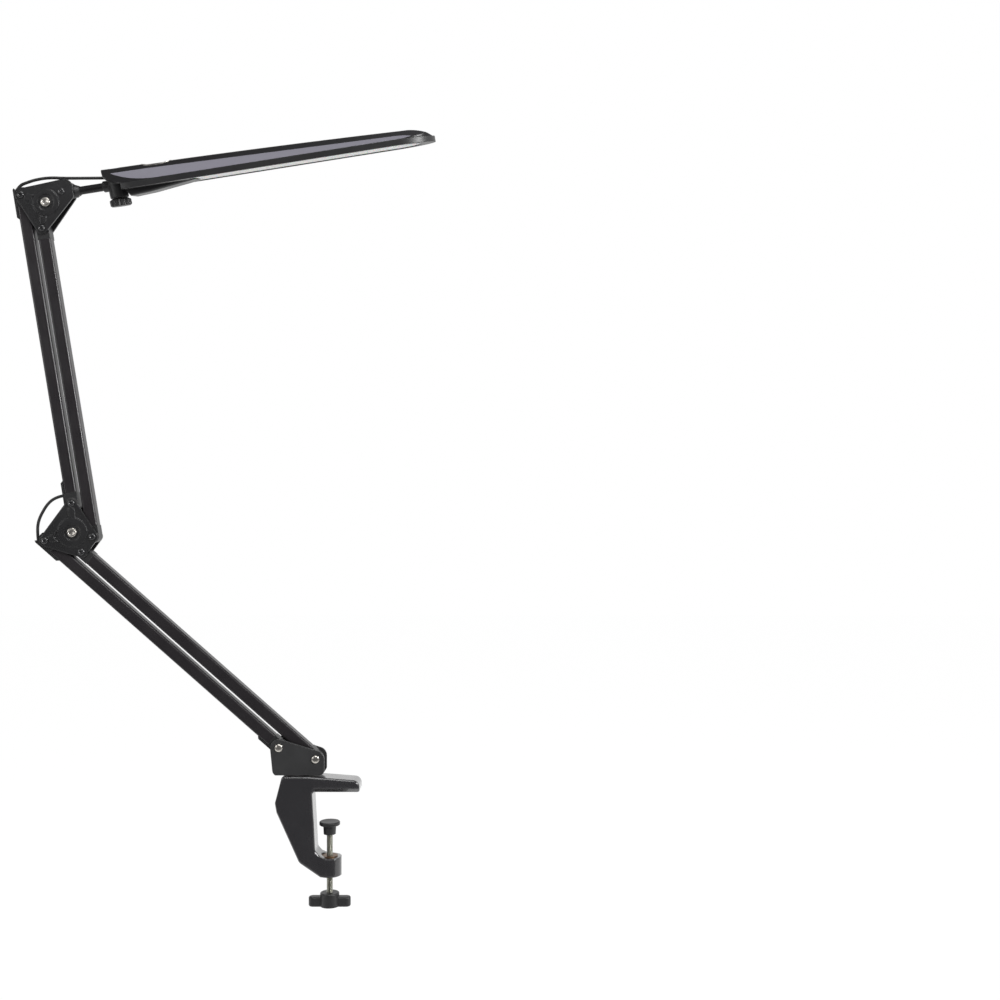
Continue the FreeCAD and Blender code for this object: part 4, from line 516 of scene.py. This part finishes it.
def cordTube(name, points):
    # a bevelled line along the route, made a mesh, with the route's own points for its length
    curve = bpy.data.curves.new(name + "Line", "CURVE")
    curve.dimensions = "3D"
    spline = curve.splines.new("NURBS")
    spline.points.add(len(points) - 1)
    for point, place in zip(spline.points, points):
        point.co = (*place, 1)
    spline.order_u = 3
    spline.use_endpoint_u = True
    curve.resolution_u = cordSetup["resolution"]
    holder = bpy.data.objects.new(name + "Line", curve)
    scene.collection.objects.link(holder)
    bpy.context.view_layer.update()
    bare = bpy.data.meshes.new_from_object(holder)
    line = [tuple(v.co) for v in bare.vertices]
    curve.bevel_depth = cordSetup["diameter"] / 2
    curve.bevel_resolution = cordSetup["rounding"]
    curve.use_fill_caps = True
    bpy.context.view_layer.update()
    tube = bpy.data.objects.new(name, bpy.data.meshes.new_from_object(holder))
    scene.collection.objects.link(tube)
    bpy.data.objects.remove(holder)
    for face in tube.data.polygons:
        face.use_smooth = True
    length = sum((Vector(a) - Vector(b)).length for a, b in zip(line, line[1:]))
    return tube, line, length


for name, route in cordRoutes.items():
    tube, line, length = cordTube(name, route["points"])
    tube.data.materials.clear()
    tube.data.materials.append(materials["cordRubber"])
    start, end = (line[-1], line[0]) if route.get("reverse") else (line[0], line[-1])
    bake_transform(tube)
    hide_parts(route["node"])
    print("lamp:", name, round(length, 4))

# studio: pale floor that starts just before the lamp
floorSetup = {"height": -0.62, "size": 10.0, "middle": (0, 4.1)}
floorMesh = bpy.data.meshes.new("studioFloor")
builder = bmesh.new()
bmesh.ops.create_grid(builder, x_segments=1, y_segments=1, size=floorSetup["size"] / 2,
                      matrix=Matrix.Translation((*floorSetup["middle"], floorSetup["height"])))
builder.to_mesh(floorMesh)
builder.free()
floor = bpy.data.objects.new("studioFloor", floorMesh)
scene.collection.objects.link(floor)


def whiteToCamera(name, paperSetup):
    # plain matt paper that is white where the camera, glass or polished metal sees it
    material = bpy.data.materials.new(name)
    material.use_nodes = True
    tree = material.node_tree
    tree.nodes.clear()
    path = addNode(tree, "ShaderNodeLightPath", (-800, 200))
    seen = addNode(tree, "ShaderNodeMath", (-500, 200), operation="MAXIMUM")
    either = addNode(tree, "ShaderNodeMath", (-300, 200), operation="MAXIMUM")
    link(tree, path.outputs["Is Camera Ray"], seen.inputs[0])
    link(tree, path.outputs["Is Glossy Ray"], seen.inputs[1])
    link(tree, seen.outputs["Value"], either.inputs[0])
    link(tree, path.outputs["Is Transmission Ray"], either.inputs[1])
    paper = addNode(tree, "ShaderNodeBsdfPrincipled", (-300, -100))
    fill(paper, Base_Color=(*paperSetup["colour"], 1), Roughness=paperSetup["roughness"])
    glow = addNode(tree, "ShaderNodeEmission", (-300, -400))
    fill(glow, Color=(1, 1, 1, 1), Strength=paperSetup["glow"])
    mix = addNode(tree, "ShaderNodeMixShader", (0, 0))
    output = addNode(tree, "ShaderNodeOutputMaterial", (200, 0))
    share = addNode(tree, "ShaderNodeMath", (-100, 200), operation="MULTIPLY")
    share.inputs[1].default_value = paperSetup["share"]  # the rest keeps the lamp's shadow
    link(tree, either.outputs["Value"], share.inputs[0])
    link(tree, share.outputs["Value"], mix.inputs["Fac"])
    link(tree, paper.outputs["BSDF"], mix.inputs[1])
    link(tree, glow.outputs["Emission"], mix.inputs[2])
    link(tree, mix.outputs["Shader"], output.inputs["Surface"])
    return material


paperSetup = {"colour": (0.82, 0.82, 0.82), "roughness": 0.9, "glow": 1.04, "share": 0.93}
floorMesh.materials.append(whiteToCamera("paperFloor", paperSetup))

# white for the camera and glass all round, and for polished metal where the backdrop stands
studio = {"ambient": 0.5, "dim": (0.11, 0.11, 0.115, 1), "behind": (0.0, 0.3), "low": (0.62, 0.38)}
world = bpy.data.worlds.new("studioWorld")
scene.world = world
world.use_nodes = True
worldTree = world.node_tree
worldTree.nodes.clear()
worldPath = addNode(worldTree, "ShaderNodeLightPath", (-900, 400))
worldSeen = addNode(worldTree, "ShaderNodeMath", (-600, 400), operation="MAXIMUM")
worldWay = addNode(worldTree, "ShaderNodeTexCoord", (-1200, 0))
waySplit = addNode(worldTree, "ShaderNodeSeparateXYZ", (-1000, 0))
wayBack = addNode(worldTree, "ShaderNodeMapRange", (-800, 100), interpolation_type="SMOOTHSTEP")
fill(wayBack, From_Min=studio["behind"][0], From_Max=studio["behind"][1])
wayLevel = addNode(worldTree, "ShaderNodeMath", (-800, -200), operation="ABSOLUTE")
wayLow = addNode(worldTree, "ShaderNodeMapRange", (-600, -200), interpolation_type="SMOOTHSTEP")
fill(wayLow, From_Min=studio["low"][0], From_Max=studio["low"][1])
backdrop = addNode(worldTree, "ShaderNodeMath", (-400, 0), operation="MULTIPLY")
mirrored = addNode(worldTree, "ShaderNodeMix", (-200, 0), data_type="RGBA")
mirrored.inputs[6].default_value = studio["dim"]
mirrored.inputs[7].default_value = (1, 1, 1, 1)
soft = addNode(worldTree, "ShaderNodeBackground", (0, 200))
fill(soft, Color=(1, 1, 1, 1), Strength=studio["ambient"])
room = addNode(worldTree, "ShaderNodeBackground", (0, 0))
white = addNode(worldTree, "ShaderNodeBackground", (0, -200))
fill(white, Color=(1, 1, 1, 1), Strength=1.0)
byGloss = addNode(worldTree, "ShaderNodeMixShader", (200, 100))
worldMix = addNode(worldTree, "ShaderNodeMixShader", (400, 0))
worldOut = addNode(worldTree, "ShaderNodeOutputWorld", (600, 0))
for start, end in (
        (worldWay.outputs["Generated"], waySplit.inputs["Vector"]),
        (waySplit.outputs["Y"], wayBack.inputs["Value"]), (waySplit.outputs["Z"], wayLevel.inputs[0]),
        (wayLevel.outputs["Value"], wayLow.inputs["Value"]),
        (wayBack.outputs["Result"], backdrop.inputs[0]), (wayLow.outputs["Result"], backdrop.inputs[1]),
        (backdrop.outputs["Value"], mirrored.inputs[0]), (mirrored.outputs[2], room.inputs["Color"]),
        (worldPath.outputs["Is Camera Ray"], worldSeen.inputs[0]),
        (worldPath.outputs["Is Transmission Ray"], worldSeen.inputs[1]),
        (worldPath.outputs["Is Glossy Ray"], byGloss.inputs["Fac"]),
        (soft.outputs["Background"], byGloss.inputs[1]), (room.outputs["Background"], byGloss.inputs[2]),
        (worldSeen.outputs["Value"], worldMix.inputs["Fac"]), (byGloss.outputs["Shader"], worldMix.inputs[1]),
        (white.outputs["Background"], worldMix.inputs[2]),
        (worldMix.outputs["Shader"], worldOut.inputs["Surface"])):
    link(worldTree, start, end)

lamps = {
    "keyRight": {"place": (2.0, -1.2, 1.3), "aim": (-0.15, 0, 0.4), "size": 0.7, "power": 60.0},
    "fillLeft": {"place": (-2.2, -1.6, 0.9), "aim": (-0.1, 0, 0.4), "size": 1.2, "power": 14.0},
    "frontTop": {"place": (0.1, -1.7, 2.6), "aim": (-0.1, 0, 0.5), "size": 1.4, "power": 40.0},
}
for name, lamp in lamps.items():
    data = bpy.data.lights.new(name, "AREA")
    data.shape = "SQUARE"
    data.size = lamp["size"]
    data.energy = lamp["power"]
    holder = bpy.data.objects.new(name, data)
    holder.location = lamp["place"]
    aim = Vector(lamp["aim"]) - Vector(lamp["place"])
    holder.rotation_euler = aim.to_track_quat("-Z", "Y").to_euler()
    scene.collection.objects.link(holder)
print("lamp: studio lit")
